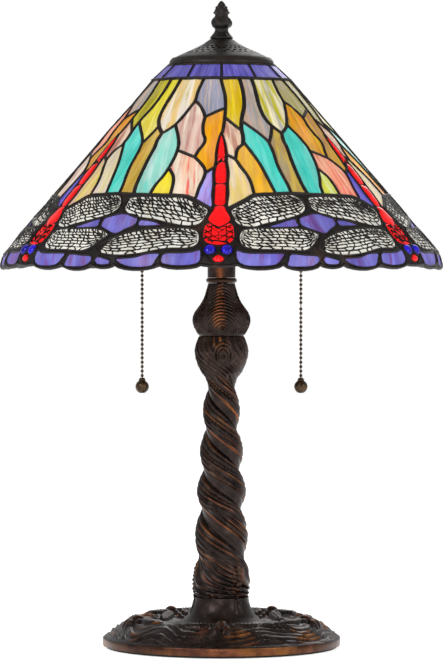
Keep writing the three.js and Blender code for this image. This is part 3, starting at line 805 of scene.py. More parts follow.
# ------------------------------------------------------------------ wings
def line_reader(points):
    """A function that gives the point at a share of a line's length."""
    lengths = [0.0]
    for (a0, t0), (a1, t1) in zip(points, points[1:]):
        lengths.append(lengths[-1] + math.hypot((a1 - a0) * per_degree(200), t1 - t0))
    total = lengths[-1]
    across = [(length / total, p[0]) for length, p in zip(lengths, points)]
    down = [(length / total, p[1]) for length, p in zip(lengths, points)]
    return lambda share: (reading(across, share), reading(down, share))


def rib(build, start, end, half_start, half_end, rise):
    """A short raised bar of filigree, waisted in the middle, between two points on the shade."""
    along = Vector(((end[0] - start[0]) * per_degree(start[1]), end[1] - start[1]))
    if along.length < 0.2:
        return
    side = Vector((along.y, -along.x)).normalized()
    sections = []
    for share, half in ((0.0, half_start), (0.5, min(half_start, half_end) * 0.62), (1.0, half_end)):
        a, t = lerp(start[0], end[0], share), lerp(start[1], end[1], share)
        for across, up in ((-half, -0.25), (-half * 0.55, rise), (half * 0.55, rise), (half, -0.25)):
            sections.append(on_shade(a + across * side.x / per_degree(t), t + across * side.y, up))
    faces = [(0, 1, 2, 3), (11, 10, 9, 8)]
    for row in (0, 4):
        for i in range(4):
            j = (i + 1) % 4
            faces.append((row + i, row + 4 + i, row + 4 + j, row + j))
    build.island(sections, faces)


ROW_HALF, BAR_HALF = 1.12, 1.05  # half the widths of the veins along and across a wing


def filigree(build, upper, lower, cells, slants, rng):
    """Metal veins over a wing: rows from root to tip, with staggered bars in each row."""
    top, bottom = line_reader(upper), line_reader(lower)
    rows = len(cells)

    def spot(u, v):
        (a0, t0), (a1, t1) = top(u), bottom(u)
        return lerp(a0, a1, v), lerp(t0, t1, v)

    steps = 20

    def narrowing(u):
        (a0, t0), (a1, t1) = top(u), bottom(u)
        depth = math.hypot((a1 - a0) * per_degree(t0), t1 - t0)
        return clamp(depth / rows / 3.0, 0.3, 1.0)

    for row in range(1, rows):
        path = []
        for i in range(steps + 1):
            u = i / steps
            path.append((u, row / rows + 0.035 * noise.noise(Vector((u * 9, row * 3.3, cells[0])))))
        for (u0, v0), (u1, v1) in zip(path, path[1:]):
            half = ROW_HALF * narrowing((u0 + u1) / 2)
            rib(build, spot(u0, v0), spot(u1, v1), half, half, 0.3)
    for row, (count, slant) in enumerate(zip(cells, slants)):
        for i in range(1, count):
            u = (i + 0.5 * (row % 2) - 0.25 + rng.uniform(-0.3, 0.3)) / count
            lean_by = slant + rng.uniform(-0.25, 0.25)
            start = spot(clamp(u - lean_by / count), row / rows)
            end = spot(clamp(u + lean_by / count), (row + 1) / rows)
            wide = BAR_HALF * rng.uniform(0.7, 1.2) * narrowing(u)
            rib(build, start, end, wide * 1.3, wide * 1.3, 0.36)


def forward_rail(outline, start, end):
    return outline[start:end + 1]


def backward_rail(outline, start, end):
    """A rail that runs round the outline the other way."""
    return [outline[(start - i) % len(outline)] for i in range((start - end) % len(outline) + 1)]


# each wing's outline, its upper and lower rails by point number, and the veins of its rows
WINGS = [
    (UPPER_RIGHT, (0, 6), (14, 7), (22, 22, 20, 18, 15, 12, 9), (0.5, 0.5, 0.4, 0.4, 0.3, 0.2, 0.1)),
    (UPPER_LEFT, (0, 6), (14, 7), (20, 20, 18, 15, 12, 9), (-0.5, -0.5, -0.4, -0.3, -0.2, -0.1)),
    (LOWER_RIGHT, (0, 5), (12, 6), (18, 15, 12, 11, 10, 9, 9), (0.4, 0.3, 0.2, 0.2, 0.1, 0.1, 0.1)),
    (LOWER_LEFT, (0, 6), (13, 7), (22, 18, 14, 12, 11, 10, 10), (-0.4, -0.3, -0.2, -0.2, -0.1, -0.1, -0.1)),
]


def wing_veins(build, sector, rng):
    for outline, upper, lower, cells, slants in WINGS:
        over = placed(forward_rail(outline, *upper), sector)
        under = placed(backward_rail(outline, *lower), sector)
        filigree(build, flow_curve(over), flow_curve(under), cells, slants, rng)


# ------------------------------------------------------------------ body jewels
def cabochon(build, outline, base, rise, rings=5):
    """A domed jewel over a closed outline on the shade, bulging outside and inside."""
    middle = middle_of(outline)
    count = len(outline)
    vertices, faces = [], []
    for sign, level in ((1, base), (-1, -GLASS - base)):
        start = len(vertices)
        for ring in range(rings):
            share = 1 - ring / rings
            up = level + sign * rise * math.sqrt(max(0.0, 1 - share * share))
            for a, t in outline:
                vertices.append(on_shade(lerp(middle[0], a, share), lerp(middle[1], t, share), up))
        vertices.append(on_shade(*middle, level + sign * rise))
        sheet = ring_faces(rings, count)
        last = (rings - 1) * count
        sheet += [(last + i, last + (i + 1) % count, rings * count) for i in range(count)]
        faces += [tuple(start + i for i in (face if sign < 0 else face[::-1])) for face in sheet]
    offset = rings * count + 1
    faces += [(i, (i + 1) % count, offset + (i + 1) % count, offset + i) for i in range(count)]
    build.island(vertices, faces)


def ellipse(middle, across, down, count):
    """A closed outline round a point: half axes in millimetres."""
    return [(middle[0] + across * math.cos(TAU * i / count) / per_degree(middle[1]),
             middle[1] + down * math.sin(TAU * i / count)) for i in range(count)]


THORAX = [(-3.8, 202), (-2.7, 199.4), (-1.1, 203.5), (0, 205), (1.1, 203.5), (2.7, 199.4), (3.8, 202),
          (4.1, 209), (4.0, 216), (3.0, 221.5), (0, 224), (-3.0, 221.5), (-4.0, 216), (-4.1, 209)]
NOSE_SLOPE = 238.8


def red_body(build, sector):
    for rows in BODY_SEGMENTS:
        right = [(half, t) for t, half in rows]
        left = [(-half, t) for t, half in reversed(rows)]
        outline = flow_curve(placed(leaning(right + left), sector), step=2.0, closed=True)
        cabochon(build, [tuple(p) for p in outline], 0.3, 1.5)
    outline = flow_curve(placed(leaning(THORAX), sector), step=2.0, closed=True)
    cabochon(build, [tuple(p) for p in outline], 0.4, 1.8)
    nose = (lean(NOSE_SLOPE), NOSE_SLOPE)
    half = 4.8 / per_degree(NOSE_SLOPE)
    diamond = [(nose[0] - half, nose[1] - 0.4), (nose[0], nose[1] - 3.6), (nose[0] + half, nose[1] - 0.4),
               (nose[0] + half * 0.55, nose[1] + 2.4), (nose[0] - half * 0.55, nose[1] + 2.4)]
    cabochon(build, placed(flow_curve(diamond, 1.0, True), sector), 0.6, 1.8)


EYE_RADIUS = 5.1
EYE_OFFSET = 2.15  # degrees from the body's axis
EYE_SLOPE = 230.4


def eyes(jewels, collars, sector):
    for side in (-1, 1):
        circle = ellipse((side * EYE_OFFSET + lean(EYE_SLOPE), EYE_SLOPE), EYE_RADIUS, EYE_RADIUS, 20)
        cabochon(jewels, placed(circle, sector), 1.0, 3.4, rings=6)
        lead_tube(collars, Lead(placed(circle, sector), 2.0, True, 1.9))


def thorax_veins(build, sector):
    """Dark diagonals that cross the red thorax just above it."""
    strokes = [((-3.4, 202.5), (0.0, 211.5)), ((3.4, 202.5), (0.0, 211.5)), ((-3.8, 208), (-0.2, 219)),
               ((3.8, 208), (0.2, 219)), ((-3.8, 214), (-1.5, 222)), ((3.8, 214), (1.5, 222)),
               ((0, 211.5), (0, 221)), ((-2.0, 201.2), (-2.1, 219.5)), ((2.0, 201.2), (2.1, 219.5)),
               ((-3.9, 211.5), (-1.9, 209)), ((3.9, 211.5), (1.9, 209)), ((-3.2, 205.5), (-0.9, 203.2)),
               ((3.3, 206), (1.0, 204)), ((-3.9, 217.5), (-0.1, 215.2)), ((3.9, 217), (0.1, 214.6)),
               ((-1.1, 205.8), (1.1, 208.6)), ((-2.9, 219.8), (2.6, 222.2))]
    for start, end in strokes:
        path = leaning([(lerp(start[0], end[0], i / 6), lerp(start[1], end[1], i / 6)) for i in range(7)])
        lead_tube(build, Lead(placed(path, sector), 1.15, height=2.8), inner=-GLASS - 2.4)


# ------------------------------------------------------------------ the shade
CROWN_PANELS = 12
CROWN_LOW = 3.0
WEB_PROUD = 0.35  # plates of solder fill what is not a pane, and stand this far out of the glass
EDGE_LOWEST = 252.0
DRAWN = (-100, 160)  # azimuths covered by the drawing of one sector and its neighbours


def cut_sector(leads):
    """Cuts the glass of one sector: a list of (kind, place, members) and the drawing itself."""
    lines = [([(a, FIELD_TOP) for a in range(DRAWN[0], DRAWN[1], 3)], False)]
    for sector in (-1, 0, 1, 2):
        lines += [(placed(lead.points, sector), lead.closed) for lead in leads]
        lines += [(placed(cut, sector), False) for cut in CUTS]
    edge = [p for sector in (-2, -1, 0, 1, 2, 3) for p in scallop_line(sector)]
    lines.append(([p for p in edge if DRAWN[0] < p[0] < DRAWN[1]], False))
    flat, faces, region, regions = arrange(lines, *DRAWN, FIELD_TOP, EDGE_LOWEST + 6, 6.0)
    cut, known = [], set()

    def found(kind, place):
        index = region_at(flat, faces, region, place)
        if index not in known:
            known.add(index)
            cut.append((kind, place, regions[index]))

    for name, (place, *_) in SEEDS.items():
        found(name, place)
    for outline in (UPPER_RIGHT, UPPER_LEFT, LOWER_RIGHT, LOWER_LEFT):
        found("wing", middle_of(outline))
    for outline in GAP_PANES.values():
        found("gap", middle_of(outline))
    for index, members in enumerate(regions):
        corners = [flat[i] for face in members for i in faces[face]]
        a, t = middle_of(corners)
        lowest = max(corner[1] for corner in corners)
        if index not in known and -30.5 <= a < 29.5 and 170 < t and lowest < EDGE_LOWEST:
            cut.append(("web", (a, t), members))
    return flat, faces, cut


def cut_crown():
    """The twelve panels of the crown band, as (members, drawing) of one panel."""
    side = 180.0 / CROWN_PANELS
    outline = [(a, CROWN_LOW) for a in (-side, -side / 2, 0, side / 2, side)]
    outline += [(a, FIELD_TOP) for a in (side, side / 2, 0, -side / 2, -side)]
    flat, faces, _, regions = arrange([(outline, True)], -side, side, CROWN_LOW, FIELD_TOP, 6.0)
    return flat, faces, regions[0]


def tint_for(kind, sector):
    if kind not in SEEDS:
        return "wing" if kind == "wing" else "periwinkle"
    return SEEDS[kind][1 + {0: 0, 5: 1}.get(sector, 2)]


def add_glass(leads):
    rng = random.Random(11)
    flat, faces, cut = cut_sector(leads)
    panes, webs = {}, [Build() for _ in range(SECTORS)]
    for sector in range(SECTORS):
        for kind, (a, t), members in cut:
            if kind == "web":
                plate(webs[sector], flat, faces, members, SHADE, sector * SECTOR, WEB_PROUD,
                      -GLASS - WEB_PROUD)
                continue
            home = (sector + round(a / SECTOR)) % SECTORS
            group = "wing" if kind == "wing" else ("skirt" if kind == "gap" and t > 225 else "field")
            group = "gap" if kind == "gap" and t <= 225 else group
            build = panes.setdefault((group, home), Build())
            tinted(build, flat, faces, members, sector * SECTOR, tint_for(kind, sector), rng)
    slots = {"wing": "wing_glass", "skirt": "skirt_glass", "gap": "skirt_glass", "field": "field_glass"}
    stands_for = {"wing": "dragonfly_glass", "field": "field_glass"}
    for (group, home), build in sorted(panes.items()):
        piece = build.piece(f"{group}_panes_{home + 1}", STREAKY, 30)
        nodes = [f"{stands_for[group]}_{home + 1}"] if group in stands_for else []
        if group == "skirt" and home == 0:
            nodes = ["skirt_glass"]
        settle(piece, "shade", slots[group], *nodes)
    crown = Build()
    flat, faces, members = cut_crown()
    for panel in range(CROWN_PANELS):
        tinted(crown, flat, faces, members, (panel + 0.5) * 360 / CROWN_PANELS, "crown", rng)
    settle(crown.piece("crown_panes", STREAKY, 30), "shade", "crown_glass", "crown_glass")
    return webs


def add_leading(leads, webs):
    rng = random.Random(5)
    for sector, web in enumerate(webs):
        for lead in leads:
            lead_tube(web, lead, sector * SECTOR)
        settle(web.piece(f"lead_web_{sector + 1}", LEAD, 50), "shade", "lead_came",
               *(["lead_frame"] if sector == 0 else []))
        veins = Build()
        wing_veins(veins, sector, rng)
        settle(veins.piece(f"wing_veins_{sector + 1}", LEAD, 50), "shade", "lead_came")
        red, cobalt, collars = Build(), Build(), Build()
        red_body(red, sector)
        settle(red.piece(f"dragonfly_body_{sector + 1}", RED_GLASS, 60), "shade", "field_glass")
        eyes(cobalt, collars, sector)
        thorax_veins(collars, sector)
        settle(cobalt.piece(f"dragonfly_eyes_{sector + 1}", COBALT_GLASS, 60), "shade", "crown_glass")
        settle(collars.piece(f"dragonfly_veins_{sector + 1}", LEAD, 60), "shade", "lead_came")
    rings = Build()
    lead_tube(rings, around_line(FIELD_TOP, 4.4, 1.7, 0.5))
    lead_tube(rings, around_line(CROWN_LOW + 1.5, 3.0, 1.4))
    for panel in range(CROWN_PANELS):
        a = panel * 360.0 / CROWN_PANELS
        lead_tube(rings, Lead([(a, lerp(CROWN_LOW, FIELD_TOP, i / 6)) for i in range(7)], 3.4))
    settle(rings.piece("crown_leads", LEAD, 50), "shade", "lead_came")
    edge = Build()
    points = [p for sector in range(SECTORS) for p in scallop_line(sector)]
    lead_tube(edge, Lead(points, 3.2, True, 1.6))
    settle(edge.piece("rim_beading", LEAD, 50), "shade", "lead_came", "rim_came")


SECTOR_LEADS = sector_leads()
add_leading(SECTOR_LEADS, add_glass(SECTOR_LEADS))


# ------------------------------------------------------------------ metalwork
def skin_of_revolution(build, heights, radius_at, hollow, columns):
    """A cast wall: an outer surface given by radius_at(azimuth, height), and a turned hollow.

    radius_at also gives how worn each place is, painted highlights included; hollow lists (radius, height)
    from the top down.
    """
    vertices, wear = [], []
    azimuths = [360.0 * i / columns for i in range(columns)]
    for height in heights:
        for degrees in azimuths:
            radius, rub = radius_at(degrees, height)
            vertices.append(around(radius, degrees, height))
            wear.append(rub)
    for radius, height in hollow:
        vertices += [around(radius, degrees, height) for degrees in azimuths]
        wear += [0.0] * columns
    faces = ring_faces(len(heights) + len(hollow), columns, close_rows=True)
    build.island(vertices, [face[::-1] for face in faces], wear=wear)


def levels(low, high, step):
    count = round((high - low) / step)
    return [lerp(low, high, i / count) for i in range(count + 1)]


def eased(points, radius, steps=2):
    """A (radius, height) profile with its corners rounded."""
    count = len(points)
    result = []
    for i, corner in enumerate(points):
        here = Vector(corner)
        if i in (0, count - 1) or corner[0] < 1e-6:
            result.append(tuple(here))
            continue
        before, after = Vector(points[i - 1]), Vector(points[i + 1])
        reach = min(radius, (before - here).length * 0.4, (after - here).length * 0.4)
        start = here + (before - here).normalized() * reach
        end = here + (after - here).normalized() * reach
        result += [tuple(bent(start, here, end, step / steps)) for step in range(steps + 1)]
    return result


def turn(build, points, columns=48, centre=(0.0, 0.0), wear=0.25, ring=False):
    """Turns a (radius, height) profile round an upright axis: a solid, or a ring when ring is set."""
    shift = Vector((centre[0], centre[1], 0.0)) * MM
    vertices, faces, rows = [], [], []
    for radius, height in points:
        if radius < 1e-6:
            rows.append([len(vertices)])
            vertices.append(Vector((0, 0, height)) * MM + shift)
        else:
            rows.append(list(range(len(vertices), len(vertices) + columns)))
            vertices += [around(radius, 360.0 * i / columns, height) + shift for i in range(columns)]
    pairs = list(zip(rows, rows[1:] + rows[:1])) if ring else list(zip(rows, rows[1:]))
    for lower, upper in pairs:
        for i in range(columns):
            j = (i + 1) % columns
            corners = [lower[i % len(lower)], lower[j % len(lower)], upper[j % len(upper)],
                       upper[i % len(upper)]]
            face = tuple(dict.fromkeys(corners))
            if len(face) > 2:
                faces.append(face)
    build.island(vertices, faces, wear=float(wear))


def finish(build, name, material, sharp_angle, body, slot, node):
    """Makes the piece of a build, turns its faces outwards and settles it."""
    piece = build.piece(name, material, sharp_angle)
    mesh = bmesh.new()
    mesh.from_mesh(piece.data)
    bmesh.ops.recalc_face_normals(mesh, faces=mesh.faces[:])
    mesh.to_mesh(piece.data)
    mesh.free()
    settle(piece, body, slot, node)


# ---- column: a two-start rope of alternate reeded and smooth bands, under a folded bulge
COLUMN_BOTTOM, COLUMN_TOP, ROPE_TOP = 46.3, 287.3, 249.0
NECK_BOTTOM, NECK_TOP = 287.6, 336.3
PIPE_HOLE = 5.2
STRAND_CREST = [(46, 26.5), (58, 26.9), (103, 23.7), (142, 22.2), (178, 19.4), (220, 16.3), (249, 14.5)]
HALF_TURNS = [(46, 3.78), (82, 3), (128, 2), (164, 1), (202, 0), (249, -1.25)]
STRAND_SHARE = 0.76
BULGE = [(244, 15.0), (249, 15.6), (254, 18.4), (261, 21.7), (267, 23.6), (273.5, 24.5), (280, 23.2),
         (284, 21.8), (287.3, 20.3)]
STUDS = (36.0, 156.0, 276.0)  # azimuths of the strips of beads at the foot of the column


def ridge(phase, sharpness=1.6):
    """A row of rounded ridges: 1 on each crest, 0 in each groove."""
    return (0.5 + 0.5 * math.cos(phase)) ** sharpness


def spread(degrees, middle):
    return (degrees - middle + 180) % 360 - 180


def off_thirds(degrees, first):
    """Degrees to the nearest of three places a third of a turn apart."""
    return min(abs(spread(degrees, first + 120 * third)) for third in range(3))


def bead_strip(degrees, height, radius):
    """Two rows of small beads down each strip at the foot: how far they stand out."""
    out = 0.0
    for middle in STUDS:
        across = math.radians(spread(degrees, middle)) * radius
        if abs(across) < 7:
            for lane in (-2.6, 2.2):
                along = (height + lane * 0.8) % 5.2 - 2.6
                wide = 2.3 + 0.5 * noise.noise(Vector((height * 0.13, lane, middle)))
                gap = math.hypot((across - lane) / wide, along / 2.4)
                out = max(out, math.sqrt(max(0.0, 1 - gap * gap)) * 1.1)
    return out


def rope_skin(degrees, height):
    crest = reading(STRAND_CREST, height)
    strand = crest * STRAND_SHARE
    centre = crest - strand
    turn_angle = math.radians(degrees) - math.pi * reading(HALF_TURNS, height)
    across = centre * math.sin(turn_angle)
    radius = centre * abs(math.cos(turn_angle)) + math.sqrt(strand ** 2 - across ** 2)
    across = ((turn_angle / math.pi + 0.5) % 1) - 0.5
    spin = Vector((math.sin(turn_angle) * 1.5, math.cos(turn_angle) * 1.5, height * 0.022))
    wander, patches = noise.noise(spin), noise.noise(spin * 2.3 + Vector((7, 3, 1)))
    reeded = smooth(-0.33, -0.27, across) * (1 - smooth(0.37, 0.41, across))
    reeds = ridge(across * 52 + wander * 3.0 + patches * 2.0)
    past = (across - 0.41) % 1 / 0.27
    filled = math.sin(math.pi * past) if past < 1 else 0.0
    relief = lerp(0.9 * filled, 1.7 * reeds - 0.6, reeded)
    relief -= 2.3 * math.exp(-((across - 0.405) / 0.034) ** 2)
    front = smooth(0.42, 0.62, 0.5 + patches + 0.1 * wander)
    rub = reeded * clamp((reeds - 0.6) * 2.0) * front * 0.6
    rub += 0.8 * math.exp(-((across + 0.285) / 0.022) ** 2) * smooth(0.3, 0.6, 0.5 + wander)
    foot = 1 - smooth(70, 92, height)
    before = min((middle - degrees) % 120 for middle in STUDS)
    drop = math.radians(before) * 26.0 * lerp(0.10, 0.62, smooth(48, 88, height))
    folds = ridge((height - drop) * 1.75 + wander * 2.2 + 0.8 * math.sin(math.radians(before) * 3))
    relief = lerp(relief, 1.5 * folds - 0.8, foot)
    rub = lerp(rub, 0.5 * clamp((folds - 0.6) * 2) * front, foot)
    radius = lerp(radius, 25.6, foot * 0.55) + relief
    beads = bead_strip(degrees, height, radius) * (1 - smooth(76, 84, height))
    return radius + beads, clamp(rub + 0.1 * beads)


def bulge_skin(degrees, height):
    """Upright folds under the neck, arched at three places, that lean over into the rope."""
    radius = reading(BULGE, height)
    down = COLUMN_TOP - height
    twist = math.radians(degrees) - 0.0011 * down ** 2
    wander = noise.noise(Vector((math.sin(twist) * 1.3, math.cos(twist) * 1.3, height * 0.03)))
    folds = ridge(twist * 22 + wander * 2.5)
    arch_gap = math.hypot(math.radians(off_thirds(degrees, 4)) * 24.0,
                          (height - 271.0) * (0.85 if height > 271 else 0.1))
    arches = ridge(arch_gap * 2.1)
    share = (1 - smooth(8.5, 12.5, arch_gap)) * smooth(259, 268, height)
    relief = lerp(folds, arches, share)
    # painted highlight: the folds turn copper round three azimuths, one at the front, near the top of the
    # bulge
    painted_light = smooth(20, 8, off_thirds(degrees, -4)) * smooth(272, 283, height)
    return radius + 1.6 * relief - 0.9, clamp((relief - 0.4) * 1.4) * (0.9 * painted_light + 0.1)


def column_skin(degrees, height):
    if height <= ROPE_TOP - 8:
        return rope_skin(degrees, height)
    share = smooth(ROPE_TOP - 8, ROPE_TOP + 6, height)
    (r0, w0), (r1, w1) = rope_skin(degrees, height), bulge_skin(degrees, height)
    return lerp(r0, r1, share), lerp(w0, w1, share)


NECK_PROFILE = [(287.6, 20.5), (291, 22.9), (295.4, 25), (299, 26.2), (302, 26.6), (305.5, 26.2),
                (309.5, 24.6), (313.5, 21.7), (318, 18.5), (321.5, 16.6), (325, 15.1), (331, 13.5),
                (336.3, 12.3)]


def neck_skin(degrees, height):
    """Fine ridges in arches one above another, on each third of the neck."""
    radius = reading(NECK_PROFILE, height)
    away = math.hypot(math.radians(off_thirds(degrees, 2)) * 25.0, (height - 292.0) * 0.92)
    wander = noise.noise(Vector((degrees * 0.02, height * 0.04, 3.0)))
    reeds = ridge(away * 2.35 + wander * 1.5, 1.3)
    fade = smooth(287.6, 291, height) * (1 - 0.6 * smooth(326, 336, height))
    # painted highlight down three thirds of the neck, one at the front; rub adds it to a little real wear on
    # every crest
    strip = smooth(19, 5, off_thirds(degrees, -5))
    rub = clamp((reeds - 0.3) * 1.6) * strip * smooth(292, 302, height) + 0.12 * clamp(reeds - 0.7)
    return radius + (1.25 * reeds - 0.8) * fade, rub * fade


def sleeve_skin(degrees, height):
    """A plain tube with a painted highlight down three stripes, one at the front."""
    return 12.9, 0.75 * math.exp(-(off_thirds(degrees, -7) / 13) ** 2)


def add_column():
    build = Build()
    hollow = [(PIPE_HOLE, COLUMN_TOP), (PIPE_HOLE, 284.3), (16, 275), (8, 252), (8, 180), (12, 120),
              (14, 50.3), (PIPE_HOLE, 50.3), (PIPE_HOLE, COLUMN_BOTTOM)]
    skin_of_revolution(build, levels(COLUMN_BOTTOM, COLUMN_TOP, 1.05), column_skin, hollow, 180)
    settle(build.piece("column_shell", BRONZE, 60), "stand", "antique_bronze", "column_casting")
    build = Build()
    hollow = [(PIPE_HOLE, NECK_TOP), (PIPE_HOLE, 333.3), (10, 322), (20, 302), (15, 290.6),
              (PIPE_HOLE, 290.6), (PIPE_HOLE, NECK_BOTTOM)]
    skin_of_revolution(build, levels(NECK_BOTTOM, NECK_TOP, 0.65), neck_skin, hollow, 180)
    settle(build.piece("neck_shell", BRONZE, 60), "stand", "antique_bronze", "neck_casting")
    ring = Build()
    turn(ring, [(PIPE_HOLE, 336.6), (12.4, 336.6), (13.4, 337.0), (14.1, 337.9), (14.35, 338.9),
                (14.1, 339.9), (13.4, 340.8), (12.6, 341.2), (PIPE_HOLE, 341.2)], 72, wear=0.1, ring=True)
    finish(ring, "bead_ring", BRONZE, 50, "stand", "antique_bronze", "collar_ring")
    sleeve = Build()
    skin_of_revolution(sleeve, [341.5, 341.9, 345, 349, 353, 357.2, 357.6], sleeve_skin,
                       [(11.4, 357.6), (11.4, 341.5)], 96)
    settle(sleeve.piece("neck_sleeve", BRONZE, 50), "stand", "antique_bronze", "neck_tube")


# ---- base: a domed disc with flowing ripples and five dragonflies in relief
BASE_PROFILE = [(25.2, 46), (25.6, 42), (26.6, 38), (28.8, 33), (32, 28.5), (37, 24.4), (43, 21.6),
                (48, 20.4), (54, 20.2), (60, 20.9), (65, 22.6), (70, 24.6), (74, 26.0), (78, 26.6),
                (82, 26.2),
                (87, 24.6), (92, 21.9), (97, 18.4), (101, 15.4), (105, 12.3), (108, 10.2), (109.6, 9.2)]
# (radius, height, how coppery) down the rim, then (radius, height) round the hollow underneath
BASE_RIM = [(109.8, 8.9, 0.55), (110, 8.4, 0.7), (110, 5.4, 0.75), (110, 2.6, 0.7), (109.7, 1.9, 0.5),
            (107.5, 1.8, 0.1)]
BASE_HOLLOW = [(104, 1.8), (104, 7.6), (95, 13.5), (86, 19.5), (78, 22.5), (70, 21), (60, 17.2), (44, 17),
               (PIPE_HOLE, 17), (PIPE_HOLE, 46)]
BASE_COLUMNS = 540
BASE_FLIES = 5
FLY_RADIUS = 77.0


def ball_height(x, y, radius):
    return math.sqrt(max(0.0, radius * radius - x * x - y * y))


def blob(x, y, cx, cy, long, wide, degrees, rise):
    """The height of a rounded lozenge at (cx, cy) whose long axis is turned by some degrees."""
    angle = math.radians(degrees)
    dx, dy = x - cx, y - cy
    u = (dx * math.cos(angle) + dy * math.sin(angle)) / long
    v = (-dx * math.sin(angle) + dy * math.cos(angle)) / wide
    gap = u * u + v * v
    return (rise * math.sqrt(1 - gap), u, v) if gap < 1 else (0.0, u, v)


def fly_relief(x, y):
    """Height of one dragonfly, with x across it and y outwards, head to the rim."""
    height = 0.0
    for side in (-1, 1):
        height = max(height, ball_height(x - side * 4.3, y - 13.5, 4.6))
        height = max(height, ball_height(x - side * 9.5, y - 7.0, 3.2))
        for cx, cy, long, wide, degrees in ((19, 1.5, 15, 5.6, 8), (16.5, -10.5, 14, 5.2, -24)):
            up, u, v = blob(side * x, y, cx, cy, long, wide, degrees, 3.4)
            if up:
                veins = ridge(u * 26 + abs(v) * 5, 1.0) * 0.7 + ridge(v * 10, 1.0) * 0.5
                height = max(height, min(up, 2.0) + veins * min(up, 0.9))
    height = max(height, blob(x, y, 0, 5.0, 8.0, 5.4, 90, 5.4)[0])
    for i in range(5):
        height = max(height, blob(x, y, 0, -5.5 - i * 5.0, 3.3, 3.0 - 0.3 * i, 90, 3.0 - 0.3 * i)[0])
    return height


def base_top(degrees, radius):
    """Height of the base's upper face and how worn it is."""
    height = reading(BASE_PROFILE, radius)
    angle = math.radians(degrees)
    x, y = math.sin(angle), math.cos(angle)
    warp = noise.noise(Vector((x * 2.6, y * 2.6, radius * 0.02)))
    warp_fine = noise.noise(Vector((x * 7, y * 7, radius * 0.05 + 5)))
    phase = radius * 1.15 + 13.0 * warp + 2.0 * warp_fine + 2.0 * math.sin(angle * 3 + 0.6)
    waves = ridge(phase, 1.2)
    strength = smooth(58, 68, radius) * (1 - smooth(103, 108.5, radius))
    strength *= 0.35 + 1.3 * smooth(0.3, 0.75, 0.5 + noise.noise(Vector((x * 4, y * 4, radius * 0.11))))
    height += (1.7 * waves - 0.8) * strength
    patches = noise.noise(Vector((x * 3.2, y * 3.2, radius * 0.03 + 2)))
    rub = 0.75 * clamp((waves - 0.5) * 2.0) * strength * smooth(0.45, 0.78, 0.5 + patches + 0.2 * warp)
    ripple = 0.5 * noise.noise(Vector((x * 14, y * 14, radius * 0.25)))
    height += ripple * smooth(34, 44, radius)
    step = 360.0 / BASE_FLIES
    off = spread(degrees, round(degrees / step) * step)
    if abs(off) < 34:
        up = fly_relief(math.radians(off) * radius, radius - FLY_RADIUS)
        height = max(height, lerp(height, reading(BASE_PROFILE, radius) + up, smooth(0.0, 0.8, up)))
        rub = max(rub * (1 - smooth(0.0, 1.0, up)), 0.22 * smooth(2.6, 4.6, up))
    beads = bead_strip(degrees, height, 27.0) if radius < 29 else 0.0
    return height, clamp(rub), beads


def add_base():
    azimuths = [360.0 * i / BASE_COLUMNS for i in range(BASE_COLUMNS)]
    vertices, wear = [], []
    radii = [25.2, 25.4, 25.7, 26.2, 26.9, 27.8] + levels(28.8, 56, 1.35) + levels(57, 109.4, 0.95)
    for radius in radii:
        for degrees in azimuths:
            height, rub, beads = base_top(degrees, radius)
            vertices.append(around(radius + beads, degrees, height))
            wear.append(rub)
    for radius, height, rub in BASE_RIM + [(*corner, 0.0) for corner in BASE_HOLLOW]:
        for degrees in azimuths:
            # painted highlight: the rim's copper is brightest at the front and at two other thirds of a turn,
            # and dark elsewhere
            painted_rim_highlight = math.cos(math.radians(off_thirds(degrees, 12)) / 2) ** 14
            vertices.append(around(radius, degrees, height))
            wear.append(clamp(rub * (0.08 + 0.66 * painted_rim_highlight)))
    build = Build()
    rows = len(vertices) // BASE_COLUMNS
    build.island(vertices, ring_faces(rows, BASE_COLUMNS, close_rows=True), wear=wear)
    finish(build, "base_shell", BRONZE, 50, "stand", "antique_bronze", "base_casting")


# ---- finial and heat cap
FINIAL_PROFILE = [(562.3, 10.6), (562.9, 10.7), (563.6, 10.3), (564.2, 9.6), (566.1, 7.9), (567.6, 6.7),
                  (569, 6.1), (570.2, 6.1), (571.6, 6.6), (572.6, 7.9), (573.5, 8.8), (574.8, 9.4),
                  (576.3, 9.7), (577.8, 9.4), (579, 8.8), (580, 8.3), (580.9, 7.6), (582, 6.6), (583.5, 6.0),
                  (584.6, 6.3), (585.5, 6.8), (586.4, 6.9), (587.4, 6.8), (588.3, 6.4), (590.2, 5.3),
                  (592, 4.2), (593.8, 3.2), (595.4, 2.2), (596.4, 1.2)]


def finial_skin(degrees, height):
    radius = reading(FINIAL_PROFILE, height)
    angle = math.radians(degrees)
    if height > 583:
        scales = ridge(angle * 6 + (height - 583) * 1.15, 1.0) * ridge(angle * 6 - (height - 583) * 1.15, 1.0)
        relief, share = scales * 1.5 - 0.35, smooth(583, 585, height) * clamp(radius / 4)
    elif height > 571:
        relief = ridge(angle * 7 + (height - 571) * 0.42) - 0.5
        share = smooth(571, 573, height) * (1 - smooth(580.5, 583, height))
    else:
        relief = ridge(angle * 12) * 0.8 - 0.4
        share = smooth(563.5, 565, height) * (1 - smooth(568, 570, height))
    return radius + 0.75 * relief * share, 0.10 * clamp(relief) * share


CAP_PROFILE = [(3.6, 561.9), (10.2, 561.9), (12.5, 560.2), (17.6, 556.6), (25, 552.9), (33.8, 549.1),
               (41.7, 545.4), (45.8, 542.4), (47.2, 539.7)]
CAP = Slope(CAP_PROFILE, reach=1.0)
CAP_WALL = 1.4
# the rows of holes: distance down the cap, half width in degrees, half length in millimetres
CAP_HOLES = [(20.0, 3.3, 1.7), (24.4, 3.6, 1.9), (29.0, 3.4, 1.9), (33.4, 2.6, 1.5)]


